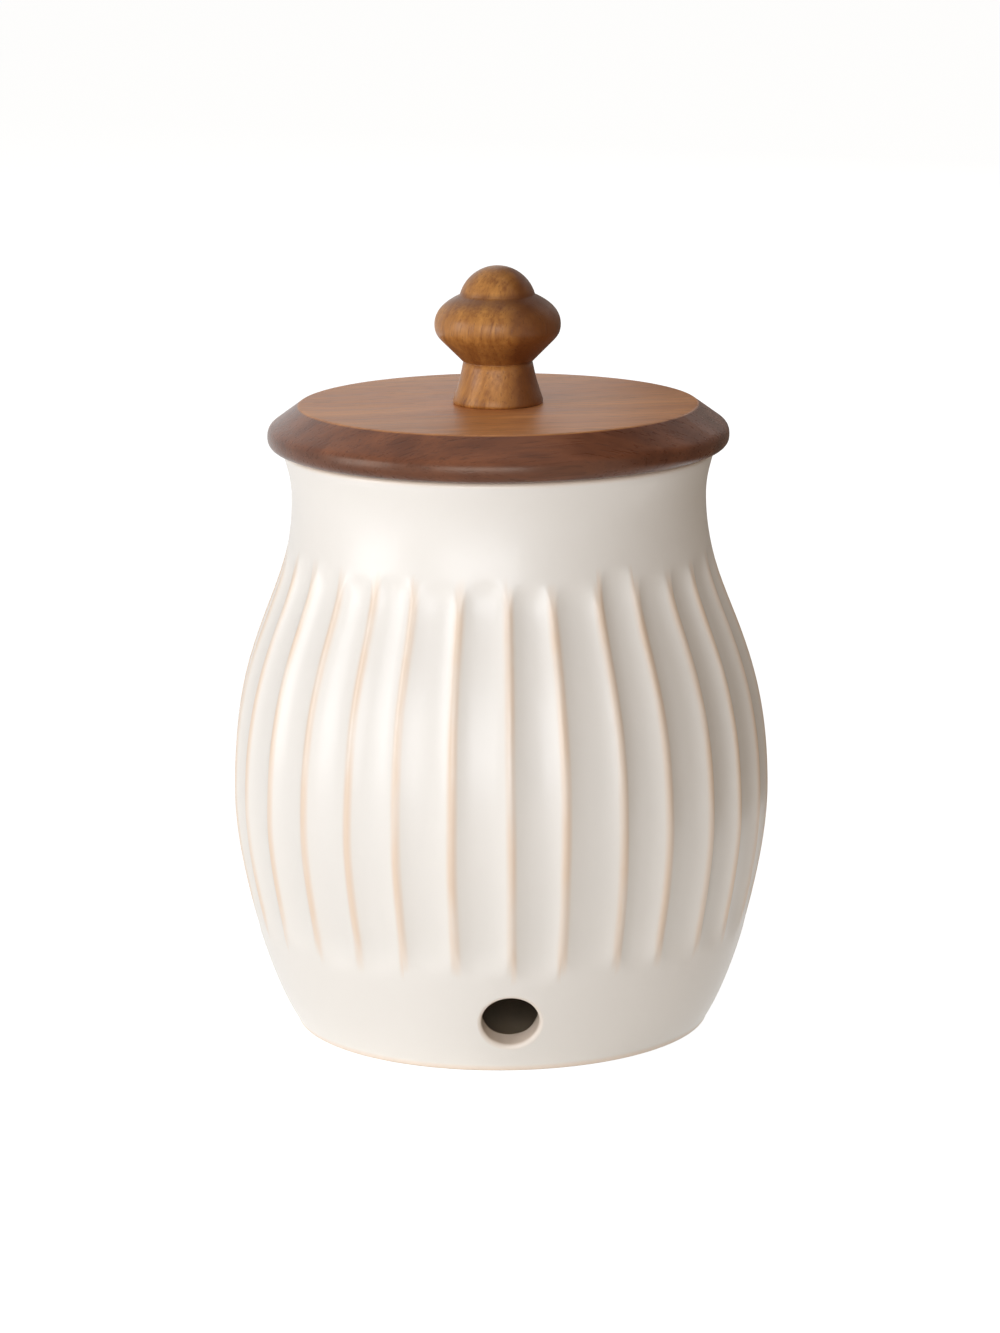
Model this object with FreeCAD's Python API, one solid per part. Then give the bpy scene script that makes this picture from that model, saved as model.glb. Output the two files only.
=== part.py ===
import FreeCAD, Part
import math
import os

# A stoneware garlic keeper: a jar carved with upright flutes, with a vent hole near its foot,
# and a wooden lid with a turned knob, a plug with a silicone seal, and one screw that holds it together.
# Millimetres, +Z up, origin at the centre of the jar's foot, the vent towards -Y.

# Jar: outline of the outside. Each pull is how far the outline follows its direction at that place.
jar_height = 140.8
foot_radius = 49.5
foot_lean = 36.0
foot_pull = 13.2
belly_radius = 65.0
belly_height = 58.0
belly_pull_below = 17.0
belly_pull_above = 39.5
neck_radius = 49.8
neck_height = 130.0
neck_pull_below = 26.0
neck_pull_above = 4.0
rim_radius = 51.9
rim_lean = 16.0
rim_pull = 4.0
edge_round = 1.2

# Jar: flutes, each from one ridge to the next, with a rounded end like the tool that carves it
flute_count = 30
flute_depth = 1.35
flute_low = 24.5
flute_high = 118.5
flute_end_length = 7.0

# Jar: inside
wall = 5.6
floor_thickness = 6.5
inner_corner_round = 6.0
mouth_radius = 45.2
mouth_depth = 16.0
mouth_round = 1.5
foot_recess_radius = 42.0
foot_recess_depth = 1.5

# Jar: vent hole, square to the wall
vent_radius = 6.75
vent_height = 13.4
vent_lip_round = 1.0

# Lid board
lid_gap = 0.3
board_thickness = 10.2
board_radius = 55.3
board_top_radius = 47.7
board_bevel_height = 5.5
board_under_round = 2.4
board_shoulder_round = 3.0
board_edge_round = 0.5

# Lid plug and its seal
plug_gap = 2.2
plug_thickness = 8.0
plug_round = 1.0
groove_height = 3.0
groove_depth = 2.6
groove_above_underside = 2.5
seal_clearance = 0.2
seal_mouth_clearance = 0.3
fin_thickness = 0.6
fin_rise = 0.9

# Knob: radii, and heights above the top of the board
knob_foot_radius = 10.8
knob_foot_round = 0.5
knob_waist_radius = 8.35
knob_waist_height = 9.8
knob_waist_hollow = 0.22
knob_groove_depth = 0.3
knob_groove_height = 0.3
knob_flare_radius = 13.4
knob_flare_height = 15.2
knob_head_radius = 15.1
knob_head_height = 19.0
knob_crease_radius = 9.0
knob_crease_height = 26.1
knob_height = 33.0
spigot_radius = 5.0
spigot_length = 5.0
spigot_clearance = 0.1

# Screw and washer
screw_length = 30.0
screw_radius = 2.0
screw_core_radius = 1.4
screw_pitch = 1.8
screw_tip_length = 3.0
screw_hole_clearance = 0.3
screw_head_radius = 4.0
screw_head_height = 2.4
screw_head_round = 0.8
slot_width = 1.1
slot_length = 4.6
slot_depth = 1.3
washer_radius = 4.8
washer_thickness = 0.8
washer_bore_clearance = 0.2
counterbore_depth = 3.4
counterbore_clearance = 0.5
pilot_beyond_tip = 1.0

# Places that follow from the sizes
board_underside = jar_height + lid_gap
board_top = board_underside + board_thickness
plug_radius = mouth_radius - plug_gap
plug_underside = board_underside - plug_thickness
groove_low = plug_underside + groove_above_underside
spigot_underside = board_top - spigot_length
washer_seat = plug_underside + counterbore_depth
head_seat = washer_seat - washer_thickness
screw_tip = head_seat + screw_length

UP = FreeCAD.Vector(0, 0, 1)
CENTRE = FreeCAD.Vector(0, 0, 0)


def at(radius, height):
    """Point of an outline that is turned about the upright axis."""
    return FreeCAD.Vector(radius, 0, height)


def around(radius, degrees, height):
    """Point at an angle about the upright axis."""
    turn = math.radians(degrees)
    return FreeCAD.Vector(radius * math.cos(turn), radius * math.sin(turn), height)


def line(start, end):
    return Part.LineSegment(at(*start), at(*end)).toShape()


def arc(start, middle, end):
    return Part.Arc(at(*start), at(*middle), at(*end)).toShape()


def bezier(*corners):
    curve = Part.BezierCurve()
    curve.setPoles([at(*corner) for corner in corners])
    return curve


def quarter(centre, radius, first_degrees):
    """Quarter circle, counter-clockwise about its centre from the first angle."""
    points = []
    for degrees in (first_degrees, first_degrees + 45, first_degrees + 90):
        turn = math.radians(degrees)
        points.append((centre[0] + radius * math.cos(turn), centre[1] + radius * math.sin(turn)))
    return arc(*points)


def lathe(edges):
    """Solid turned from a closed outline."""
    face = Part.Face(Part.Wire(edges))
    return face.revolve(CENTRE, UP, 360)


def lathe_points(points):
    return lathe([line(a, b) for a, b in zip(points, points[1:] + points[:1])])


def rod(radius, low, high):
    return Part.makeCylinder(radius, high - low, at(0, low))


def outline_curves():
    """The jar's outside in three smooth stretches: foot to belly, belly to neck, neck to rim."""
    lean = math.radians(foot_lean)
    flare = math.radians(rim_lean)
    lower = bezier(
        (foot_radius, 0),
        (foot_radius + foot_pull * math.sin(lean), foot_pull * math.cos(lean)),
        (belly_radius, belly_height - belly_pull_below),
        (belly_radius, belly_height))
    shoulder = bezier(
        (belly_radius, belly_height),
        (belly_radius, belly_height + belly_pull_above),
        (neck_radius, neck_height - neck_pull_below),
        (neck_radius, neck_height))
    rim = bezier(
        (neck_radius, neck_height),
        (neck_radius, neck_height + neck_pull_above),
        (rim_radius - rim_pull * math.sin(flare), jar_height - rim_pull * math.cos(flare)),
        (rim_radius, jar_height))
    return lower, shoulder, rim


OUTLINE = outline_curves()


def outside_radius(height):
    """Radius of the jar's outside, over the ridges, at a height."""
    lower, shoulder, rim = OUTLINE
    curve = lower if height < belly_height else shoulder if height < neck_height else rim
    low, high = 0.0, 1.0
    for _ in range(40):
        middle = (low + high) / 2
        if curve.value(middle).z < height:
            low = middle
        else:
            high = middle
    return curve.value(low).x


def flute_cut(across, height):
    """Depth of a flute. across runs from -1 at one ridge to 1 at the next."""
    inside = min(height - flute_low, flute_high - height)
    if inside <= 0:
        return 0.0
    along = max(0.0, 1 - inside / flute_end_length)
    return flute_depth * max(0.0, 1 - across * across - along * along)


def steps(start, end, count):
    """Even steps after the start, up to the end."""
    return [start + (end - start) * step / count for step in range(1, count + 1)]


def outside_path():
    """Points up the jar's outside, from the foot's rounded edge to the rim's."""
    first = edge_round
    last = jar_height - edge_round
    end_steps = 6
    foot_bend = [math.radians(degrees) for degrees in (0, 22.5, 45, 67.5)]
    rim_bend = [math.radians(degrees) for degrees in (22.5, 45, 67.5, 90)]
    path = []
    for turn in foot_bend:
        path.append((outside_radius(first) - edge_round * (1 - math.sin(turn)),
                     edge_round * (1 - math.cos(turn))))
    heights = [first]
    heights += steps(first, flute_low, end_steps)
    heights += steps(flute_low, flute_low + flute_end_length, end_steps)
    heights += steps(flute_low + flute_end_length, flute_high - flute_end_length, 8)
    heights += steps(flute_high - flute_end_length, flute_high, end_steps)
    heights += steps(flute_high, last, end_steps)
    path += [(outside_radius(height), height) for height in heights]
    for turn in rim_bend:
        path.append((outside_radius(last) - edge_round * (1 - math.cos(turn)),
                     last + edge_round * math.sin(turn)))
    return path


def flute_face():
    """The outside from one ridge to the next, over the whole height of the jar."""
    path = outside_path()
    columns = 12
    grid = []
    for column in range(columns + 1):
        across = 2 * column / columns - 1
        degrees = -90 + (across + 1) / 2 * 360 / flute_count
        grid.append([around(radius - flute_cut(across, height), degrees, height) for radius, height in path])
    surface = Part.BSplineSurface()
    surface.interpolate(grid)
    return surface.toShape()


def flat_end(faces, height):
    """Flat face that closes the ring of outside faces at a height."""
    near = 0.001
    edges = []
    for face in faces:
        for edge in face.Edges:
            box = edge.BoundBox
            if abs(box.ZMax - height) < near and abs(box.ZMin - height) < near:
                edges.append(edge)
    return Part.Face(Part.Wire(Part.__sortEdges__(edges)))


def jar_blank():
    """The fluted outside as a full solid, before it is hollowed."""
    first = flute_face()
    faces = []
    for number in range(flute_count):
        face = first.copy()
        face.rotate(CENTRE, UP, number * 360 / flute_count)
        faces.append(face)
    shell = Part.makeShell(faces + [flat_end(faces, 0), flat_end(faces, jar_height)])
    shell.sewShape()
    return Part.makeSolid(shell)


def jar_hollow():
    """The space inside the jar, with a rounded floor and a straight mouth."""
    mouth_low = jar_height - mouth_depth
    heights = [floor_thickness] + steps(floor_thickness, flute_high, 7)
    points = [at(outside_radius(height) - wall, height) for height in heights]
    side = Part.BSplineCurve()
    side.interpolate(points)
    foot = (points[0].x, floor_thickness)
    top = (points[-1].x, flute_high)
    lip = mouth_radius + mouth_round
    above = jar_height + mouth_round
    hollow = lathe([
        line((0, floor_thickness), foot),
        side.toShape(),
        line(top, (mouth_radius, mouth_low)),
        line((mouth_radius, mouth_low), (mouth_radius, jar_height - mouth_round)),
        quarter((lip, jar_height - mouth_round), mouth_round, 90),
        line((lip, jar_height), (lip, above)),
        line((lip, above), (0, above)),
        line((0, above), (0, floor_thickness))])
    corner = [edge for edge in hollow.Edges
              if abs(edge.BoundBox.ZMax - floor_thickness) < 0.01 and edge.BoundBox.XLength > foot[0]]
    return hollow.makeFillet(inner_corner_round, corner)


def vent_cutter():
    """Round hole square to the wall, with a rounded lip where it meets the outside."""
    step = 0.5
    slope = (outside_radius(vent_height + step) - outside_radius(vent_height - step)) / (2 * step)
    outward = FreeCAD.Vector(0, -1, -slope)
    inner_end = -2 * wall
    outer_end = 2 * wall
    lip = vent_radius + vent_lip_round
    cutter = lathe([
        line((0, inner_end), (vent_radius, inner_end)),
        line((vent_radius, inner_end), (vent_radius, -vent_lip_round)),
        quarter((lip, -vent_lip_round), vent_lip_round, 90),
        line((lip, 0), (lip, outer_end)),
        line((lip, outer_end), (0, outer_end)),
        line((0, outer_end), (0, inner_end))])
    cutter.Placement = FreeCAD.Placement(
        FreeCAD.Vector(0, -outside_radius(vent_height), vent_height),
        FreeCAD.Rotation(UP, outward))
    return cutter


def make_jar():
    jar = jar_blank().cut(jar_hollow())
    jar = jar.cut(rod(foot_recess_radius, -foot_recess_depth, foot_recess_depth))
    return jar.cut(vent_cutter())


def make_lid_board():
    band_top = board_top - board_bevel_height
    under_radius = board_radius - board_under_round
    board = lathe([
        line((0, board_underside), (under_radius, board_underside)),
        quarter((under_radius, board_underside + board_under_round), board_under_round, 270),
        line((board_radius, board_underside + board_under_round), (board_radius, band_top)),
        line((board_radius, band_top), (board_top_radius, board_top)),
        line((board_top_radius, board_top), (0, board_top)),
        line((0, board_top), (0, board_underside))])
    band_height = band_top - board_underside - board_under_round
    lean = math.atan2(board_radius - board_top_radius, board_bevel_height)
    shoulder_round = min(board_shoulder_round, 0.9 * band_height / math.tan(lean / 2))
    for height, rounding in ((board_top, board_edge_round), (band_top, shoulder_round)):
        rims = [edge for edge in board.Edges
                if edge.BoundBox.ZLength < 0.01 and abs(edge.BoundBox.ZMin - height) < 0.01
                and edge.BoundBox.XLength > board_top_radius]
        board = board.makeFillet(rounding, rims)
    spigot_hole = rod(spigot_radius + spigot_clearance, spigot_underside, board_top + 1)
    screw_hole = rod(screw_radius + screw_hole_clearance, board_underside - 1, board_top)
    return board.cut(spigot_hole).cut(screw_hole)


def make_lid_plug():
    plug = rod(plug_radius, plug_underside, board_underside)
    lower_rim = [edge for edge in plug.Edges
                 if edge.BoundBox.ZMax < plug_underside + 0.01 and edge.BoundBox.XLength > plug_radius]
    plug = plug.makeFillet(plug_round, lower_rim)
    groove = rod(plug_radius + 1, groove_low, groove_low + groove_height)
    groove = groove.cut(rod(plug_radius - groove_depth, groove_low, groove_low + groove_height))
    counterbore = rod(washer_radius + counterbore_clearance, plug_underside - 1, washer_seat)
    screw_hole = rod(screw_radius + screw_hole_clearance, plug_underside, board_underside + 1)
    return plug.cut(groove).cut(counterbore).cut(screw_hole)


def make_lid_seal():
    """Ring that fills the plug's groove, with two thin fins that rise towards the jar's mouth."""
    inner = plug_radius - groove_depth + seal_clearance
    root = plug_radius + seal_clearance
    reach = mouth_radius - seal_mouth_clearance
    low = groove_low + seal_clearance
    high = groove_low + groove_height - seal_clearance
    upper_fin = high - fin_thickness
    return lathe_points([
        (inner, low),
        (root, low),
        (reach, low + fin_rise),
        (reach, low + fin_rise + fin_thickness),
        (root, low + fin_thickness),
        (root, upper_fin),
        (reach, upper_fin + fin_rise),
        (reach, high + fin_rise),
        (root, high),
        (inner, high)])


def make_knob():
    foot = knob_foot_radius - knob_foot_round
    groove_top = knob_waist_height + 2 * knob_groove_height
    flare_foot = knob_flare_radius - (knob_flare_height - groove_top)
    waist_middle = ((knob_foot_radius + knob_waist_radius) / 2 - knob_waist_hollow,
                    (knob_foot_round + knob_waist_height) / 2)
    under_pull = (knob_head_height - knob_flare_height) / 2
    over_pull = (knob_crease_height - knob_head_height) / 2
    crease_lean = math.radians(25)
    dome_rise = knob_height - knob_crease_height
    dome_radius = (knob_crease_radius ** 2 + dome_rise ** 2) / (2 * dome_rise)
    dome_turn = math.asin(knob_crease_radius / dome_radius) / 2
    dome_centre = knob_height - dome_radius
    outline = [
        line((0, 0), (foot, 0)),
        quarter((foot, knob_foot_round), knob_foot_round, 270),
        arc((knob_foot_radius, knob_foot_round), waist_middle, (knob_waist_radius, knob_waist_height)),
        line((knob_waist_radius, knob_waist_height),
             (knob_waist_radius - knob_groove_depth, knob_waist_height + knob_groove_height)),
        line((knob_waist_radius - knob_groove_depth, knob_waist_height + knob_groove_height),
             (flare_foot, groove_top)),
        line((flare_foot, groove_top), (knob_flare_radius, knob_flare_height)),
        bezier((knob_flare_radius, knob_flare_height),
               (knob_flare_radius + under_pull / 2, knob_flare_height + under_pull / 2),
               (knob_head_radius, knob_head_height - under_pull),
               (knob_head_radius, knob_head_height)).toShape(),
        bezier((knob_head_radius, knob_head_height),
               (knob_head_radius, knob_head_height + over_pull),
               (knob_crease_radius + over_pull * math.cos(crease_lean),
                knob_crease_height - over_pull * math.sin(crease_lean)),
               (knob_crease_radius, knob_crease_height)).toShape(),
        arc((knob_crease_radius, knob_crease_height),
            (dome_radius * math.sin(dome_turn), dome_centre + dome_radius * math.cos(dome_turn)),
            (0, knob_height)),
        line((0, knob_height), (0, 0))]
    knob = lathe(outline)
    knob.translate(at(0, board_top))
    knob = knob.fuse(rod(spigot_radius, spigot_underside, board_top)).removeSplitter()
    return knob.cut(rod(screw_core_radius, spigot_underside - 1, screw_tip + pilot_beyond_tip))


def make_knob_screw():
    thread_low = spigot_underside
    thread_high = screw_tip - screw_tip_length
    body = lathe_points([
        (0, head_seat - screw_head_height),
        (screw_head_radius - screw_head_round, head_seat - screw_head_height),
        (screw_head_radius, head_seat - screw_head_height + screw_head_round),
        (screw_head_radius, head_seat),
        (screw_radius, head_seat),
        (screw_radius, thread_low),
        (screw_core_radius, thread_low),
        (screw_core_radius, thread_high),
        (0, screw_tip)])
    for angle in (0, 90):
        slot = Part.makeBox(slot_length, slot_width, slot_depth,
                            FreeCAD.Vector(-slot_length / 2, -slot_width / 2, head_seat - screw_head_height))
        slot.rotate(CENTRE, UP, angle)
        body = body.cut(slot)
    return body.fuse(screw_thread(thread_low + screw_pitch, thread_high - screw_pitch))


def screw_thread(low, high):
    """One unbroken ridge that winds round the screw's core."""
    root = screw_core_radius - 0.1
    half = screw_pitch * 0.3
    path = Part.Wire(Part.makeHelix(screw_pitch, high - low, screw_core_radius).Edges)
    ridge = Part.makePolygon([at(root, -half), at(screw_radius, 0), at(root, half), at(root, -half)])
    thread = path.makePipeShell([ridge], True, True)
    thread.translate(at(0, low))
    return thread


def make_screw_washer():
    washer = rod(washer_radius, head_seat, washer_seat)
    return washer.cut(rod(screw_radius + washer_bore_clearance, head_seat - 1, washer_seat + 1))


PIECES = {
    "jar": make_jar,
    "lid_board": make_lid_board,
    "lid_plug": make_lid_plug,
    "lid_seal": make_lid_seal,
    "knob": make_knob,
    "knob_screw": make_knob_screw,
    "screw_washer": make_screw_washer,
}

os.makedirs("parts", exist_ok=True)
for name, make in PIECES.items():
    piece = make()
    piece.exportStep("parts/" + name + ".step")
    print(name, piece.isValid(), len(piece.Solids), round(piece.Volume))
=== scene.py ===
import math

import bmesh
import bpy
import numpy as np
from bpy.props import FloatProperty, FloatVectorProperty, IntProperty, PointerProperty
from mathutils import Matrix, Vector


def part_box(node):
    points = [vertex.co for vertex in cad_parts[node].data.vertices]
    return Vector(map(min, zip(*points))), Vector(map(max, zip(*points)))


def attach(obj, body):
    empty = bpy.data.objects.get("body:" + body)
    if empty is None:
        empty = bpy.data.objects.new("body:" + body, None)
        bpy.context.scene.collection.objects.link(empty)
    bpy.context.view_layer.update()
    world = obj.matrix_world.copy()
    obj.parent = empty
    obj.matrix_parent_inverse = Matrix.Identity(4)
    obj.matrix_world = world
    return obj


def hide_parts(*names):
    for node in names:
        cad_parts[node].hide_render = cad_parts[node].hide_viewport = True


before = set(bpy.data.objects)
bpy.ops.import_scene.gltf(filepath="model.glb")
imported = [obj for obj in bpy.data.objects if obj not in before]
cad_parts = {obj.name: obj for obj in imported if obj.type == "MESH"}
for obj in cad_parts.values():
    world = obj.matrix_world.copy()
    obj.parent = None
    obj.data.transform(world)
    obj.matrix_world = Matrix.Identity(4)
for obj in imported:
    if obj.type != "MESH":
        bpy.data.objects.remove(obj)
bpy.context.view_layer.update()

bl_info = {
    "name": "Garlic keeper",
    "version": (1, 0, 0),
    "blender": (4, 5, 0),
    "location": "View3D > Sidebar > Garlic keeper",
    "description": "A fluted stoneware garlic keeper with a vent and a turned wooden lid",
    "category": "Add Mesh",
}

MM = 0.001


def linear(code):
    """Linear colour, with alpha, of an sRGB hex value."""
    shares = [int(code[place:place + 2], 16) / 255 for place in (1, 3, 5)]
    curved = [share / 12.92 if share <= 0.04045 else ((share + 0.055) / 1.055) ** 2.4
              for share in shares]
    return (*curved, 1.0)


# Sizes in millimetres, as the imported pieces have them.
# The jar's outline: each pull is how far the outline follows its direction at that place.
JAR_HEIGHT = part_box("jar")[1][2] / MM
FOOT_RADIUS, FOOT_LEAN, FOOT_PULL = 49.5, 36.0, 13.2
BELLY_RADIUS, BELLY_HEIGHT, BELLY_PULL_BELOW, BELLY_PULL_ABOVE = 65.0, 58.0, 17.0, 39.5
NECK_RADIUS, NECK_HEIGHT, NECK_PULL_BELOW, NECK_PULL_ABOVE = 49.8, 130.0, 26.0, 4.0
RIM_RADIUS, RIM_LEAN, RIM_PULL = 51.9, 16.0, 4.0
EDGE_ROUND = 1.2
WALL = 5.6
FLOOR = 6.5
INNER_ROUND = 6.0
MOUTH_RADIUS, MOUTH_DEPTH, MOUTH_ROUND = 45.2, 16.0, 1.5
RECESS_RADIUS, RECESS_DEPTH, RECESS_ROUND = 42.0, 1.5, 0.5

# The vent: its bore, its place on the wall, and its soft lip
VENT_RADIUS = 6.75
VENT_HEIGHT = 13.4
VENT_LIP = 1.0

# The jar's mesh: columns in half a flute, crowded towards its ridge, and the patch that holds the vent
HALF_FLUTE = (0.0, 0.035, 0.07, 0.11, 0.16, 0.22, 0.29, 0.36, 0.43)
PATCH_COLUMNS = 13
PATCH_ROWS = 16
PATCH_HALF_HEIGHT = 8.8
INNER_PATCH_LOW = 7.2
INNER_PATCH_ROW = 1.125

# Heights between which the rows of the jar's mesh keep one spacing
FLUTE_FOOTS, FLUTE_SHOULDERS, FLUTE_TOPS = 33.0, 110.0, 121.0

# Rings of the vent's mesh: shares of the way over the wall, degrees round the lip, shares of the way
# through the bore, and shares of the way out over the inner wall
WALL_RINGS = (0.2, 0.4, 0.6, 0.78, 0.92)
LIP_RINGS = (15, 30, 45, 60, 75, 90)
BORE_RINGS = (0.08, 0.3, 0.6, 0.92, 1.0)
INNER_RINGS = (0.1, 0.4, 0.7)

# How thin the glaze runs on the lip, from the ring at its edge to the last but one
LIP_GLAZE = (0.2, 0.4, 0.5, 0.6, 0.7, 0.8)

# Heights by which a ridge has left its even place, from which it comes back, and by which it is back
RIDGES_LOOSE, RIDGES_CAUGHT, RIDGES_EVEN = 25.0, 121.0, 137.0

# The carving: the length of a wandering ridge's waves and how far apart two ridges lie in its noise, the
# width of a soft dip in the thrown wall, and by what share the flutes differ in depth
RIDGE_WAVE, RIDGE_APART, WALL_DIP, DEPTH_SCATTER = 45.0, 3.7, 32.0, 0.1

# A flute's bowl: how flat its middle is and how softly it meets the ridge, how softly it runs out at its
# ends, and the share of its width that is left there
BOWL_FLATNESS, BOWL_EDGE, END_SOFTNESS, END_WIDTH = 2.4, 1.1, 1.3, 0.7

# Distances from the middle of a ridge up to which its glaze is thinnest, and from which it is whole
THIN_GLAZE_TO, WHOLE_GLAZE_FROM = 0.45, 1.7

# Which random draw is whose: a ridge's shift, and a flute's low end, high end and depth
SHIFT_DRAW, LOW_DRAW, HIGH_DRAW, DEPTH_DRAW = 0, 11, 23, 37

# Halvings in the search for a point on a wall, and how far below and above the vent it looks outside
HALVINGS = 40
SEARCH_BELOW, SEARCH_ABOVE = 14, 16

# The lid and the knob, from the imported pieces
BOARD_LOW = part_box("lid_board")[0][2] / MM
BOARD_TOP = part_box("lid_board")[1][2] / MM
BOARD_RADIUS, BOARD_TOP_RADIUS, BEVEL_HEIGHT = 55.3, 47.7, 5.5
BOARD_UNDER_ROUND, BOARD_SHOULDER_ROUND, BOARD_TOP_ROUND = 2.4, 3.0, 0.9
PLUG_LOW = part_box("lid_plug")[0][2] / MM
PLUG_RADIUS, PLUG_ROUND = 43.0, 1.0
GROOVE_LOW, GROOVE_HEIGHT, GROOVE_DEPTH = 2.5, 3.0, 2.6
SEAL_CLEARANCE, SEAL_REACH, FIN_THICKNESS, FIN_RISE = 0.2, 44.9, 0.6, 0.9
SPIGOT_RADIUS, SPIGOT_LENGTH, SPIGOT_CLEARANCE = 5.0, 5.0, 0.1
SCREW_HOLE = 2.3
PILOT_RADIUS, PILOT_END = 1.4, 166.7
COUNTERBORE_RADIUS, COUNTERBORE_DEPTH = 5.3, 3.4

# The knob's outline, heights above the board
KNOB_FOOT, KNOB_FOOT_ROUND = 10.8, 0.5
KNOB_WAIST, KNOB_WAIST_HEIGHT, KNOB_WAIST_HOLLOW = 8.35, 9.8, 0.22
KNOB_GROOVE = 0.3
KNOB_FLARE, KNOB_FLARE_HEIGHT = 13.4, 15.2
KNOB_HEAD, KNOB_HEAD_HEIGHT = 15.1, 19.0
KNOB_CREASE, KNOB_CREASE_HEIGHT, KNOB_CREASE_LEAN = 9.0, 26.1, 25.0
KNOB_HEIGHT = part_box("knob")[1][2] / MM - BOARD_TOP

# About how many degrees lie between the points of a rounded corner, and a radius that counts as on the axis
CORNER_STEP = 15
ON_AXIS = 0.001

# The photograph's camera, in its own pixels and in millimetres
FRAME_HEIGHT = 1333
FOCAL_PIXELS = 4649.0
SENSOR = 36.0

# The stage, in metres: what the lamps aim at, each lamp's place and its width and height, the ends of the
# dark card's foot and its height, and the half width of the floor
LAMP_AIM = Vector((0, 0, 0.08))
LAMPS = {
    "window": ((-1.12, -0.38, 0.32), (0.6, 0.7)),
    "front": ((-0.36, -1.74, 0.4), (1.4, 0.9)),
    "back": ((0.8, 1.3, 0.75), (0.9, 0.7)),
}
CARD_START, CARD_END, CARD_HEIGHT = (0.05, 0.3), (0.55, -0.3), 0.9
STUDIO_HALF = 20.0

# What all colours, and all angles, have in common in the sidebar
COLOUR = {"subtype": "COLOR", "size": 4, "min": 0.0, "max": 1.0}
ANGLE = {"subtype": "ANGLE", "unit": "ROTATION"}


class GarlicJarSettings(bpy.types.PropertyGroup):
    """The carving and the glaze of the jar."""

    flutes: IntProperty(name="Flutes", description="Flutes round the jar", default=30, min=12, max=60)
    flute_depth: FloatProperty(
        name="Flute depth", description="How deep the tool cuts at the middle of a flute",
        default=1.5 * MM, min=0.0, unit="LENGTH")
    ridge_width: FloatProperty(
        name="Ridge width", description="Width of the wall that is left between two flutes",
        default=0.7 * MM, min=0.0, unit="LENGTH")
    flute_low: FloatProperty(
        name="Flute low end", description="Height at which the flutes begin",
        default=24.5 * MM, unit="LENGTH")
    flute_high: FloatProperty(
        name="Flute high end", description="Height at which the flutes end",
        default=118.5 * MM, unit="LENGTH")
    flute_end: FloatProperty(
        name="Flute end length", description="Length of the rounded end of a flute",
        default=9.0 * MM, min=0.5 * MM, unit="LENGTH")
    end_scatter: FloatProperty(
        name="End scatter", description="How far the ends of the flutes differ, carved by hand",
        default=1.3 * MM, min=0.0, unit="LENGTH")
    ridge_shift: FloatProperty(
        name="Ridge shift", description="How far a ridge stands off its even place",
        default=math.radians(0.6), min=0.0, **ANGLE)
    ridge_wander: FloatProperty(
        name="Ridge wander", description="How far a ridge wanders along its height",
        default=math.radians(0.4), min=0.0, **ANGLE)
    wobble: FloatProperty(
        name="Wobble", description="How uneven the thrown wall is",
        default=0.25 * MM, min=0.0, unit="LENGTH")
    seed: IntProperty(name="Seed", description="Which hand-carved variation is made", default=4, min=0)
    glaze: FloatVectorProperty(
        name="Glaze", description="Cream glaze where it lies thick",
        default=linear("#F1EEE8"), **COLOUR)
    thin_glaze: FloatVectorProperty(
        name="Thin glaze", description="Peach of the clay where the glaze runs thin over a ridge",
        default=linear("#ECD8C3"), **COLOUR)
    bare_clay: FloatVectorProperty(
        name="Bare clay", description="Unglazed foot ring",
        default=linear("#D6BFA2"), **COLOUR)


class GarlicLidSettings(bpy.types.PropertyGroup):
    """The woods and fittings of the lid."""

    board_light: FloatVectorProperty(
        name="Board light", description="Lightest wood of the board",
        default=linear("#E8A465"), **COLOUR)
    board_dark: FloatVectorProperty(
        name="Board dark", description="Darkest wood of the board",
        default=linear("#BA7849"), **COLOUR)
    edge_dark: FloatVectorProperty(
        name="Edge dark", description="Turned edge, which drinks more oil",
        default=linear("#5C3221"), **COLOUR)
    knob_light: FloatVectorProperty(
        name="Knob light", description="Lightest wood of the knob",
        default=linear("#C68B48"), **COLOUR)
    knob_dark: FloatVectorProperty(
        name="Knob dark", description="Darkest wood of the knob's golden side",
        default=linear("#824D22"), **COLOUR)
    knob_heart: FloatVectorProperty(
        name="Knob heart", description="Brown heartwood on one side of the knob",
        default=linear("#6A3B1D"), **COLOUR)


class GarlicStageSettings(bpy.types.PropertyGroup):
    """The camera and the light."""

    distance: FloatProperty(
        name="Distance", description="From the jar's axis to the camera, along the floor",
        default=1100.1 * MM, unit="LENGTH")
    height: FloatProperty(
        name="Height", description="Height of the camera", default=325.2 * MM, unit="LENGTH")
    pitch: FloatProperty(
        name="Pitch", description="How far the camera looks down",
        default=math.radians(12.23), **ANGLE)
    turn: FloatProperty(
        name="Turn", description="How far the camera stands to the left of the vent",
        default=math.radians(1.9), **ANGLE)
    roll: FloatProperty(
        name="Roll", description="How far the camera leans",
        default=math.radians(0.4), **ANGLE)
    window_power: FloatProperty(name="Window power", description="Window on the left, in watts", default=6.0)
    front_power: FloatProperty(name="Front power", description="Broad light in front, in watts", default=18.0)
    back_power: FloatProperty(name="Back power", description="Weak light behind, in watts", default=5.5)
    sky: FloatProperty(name="Sky", description="Level of the light from all round", default=0.21)


def feed(tree, node, inputs):
    """Fills inputs, in order or by name, with values, sockets, or nodes that give their first output."""
    given = inputs.items() if isinstance(inputs, dict) else enumerate(inputs)
    for key, value in given:
        if isinstance(key, int):
            socket = node.inputs[key]
        else:
            socket = next(entry for entry in node.inputs if entry.name == key and entry.enabled)
        if isinstance(value, bpy.types.Node):
            value = next(entry for entry in value.outputs if entry.enabled)
        if isinstance(value, bpy.types.NodeSocket):
            tree.links.new(value, socket)
        else:
            socket.default_value = value


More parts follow.
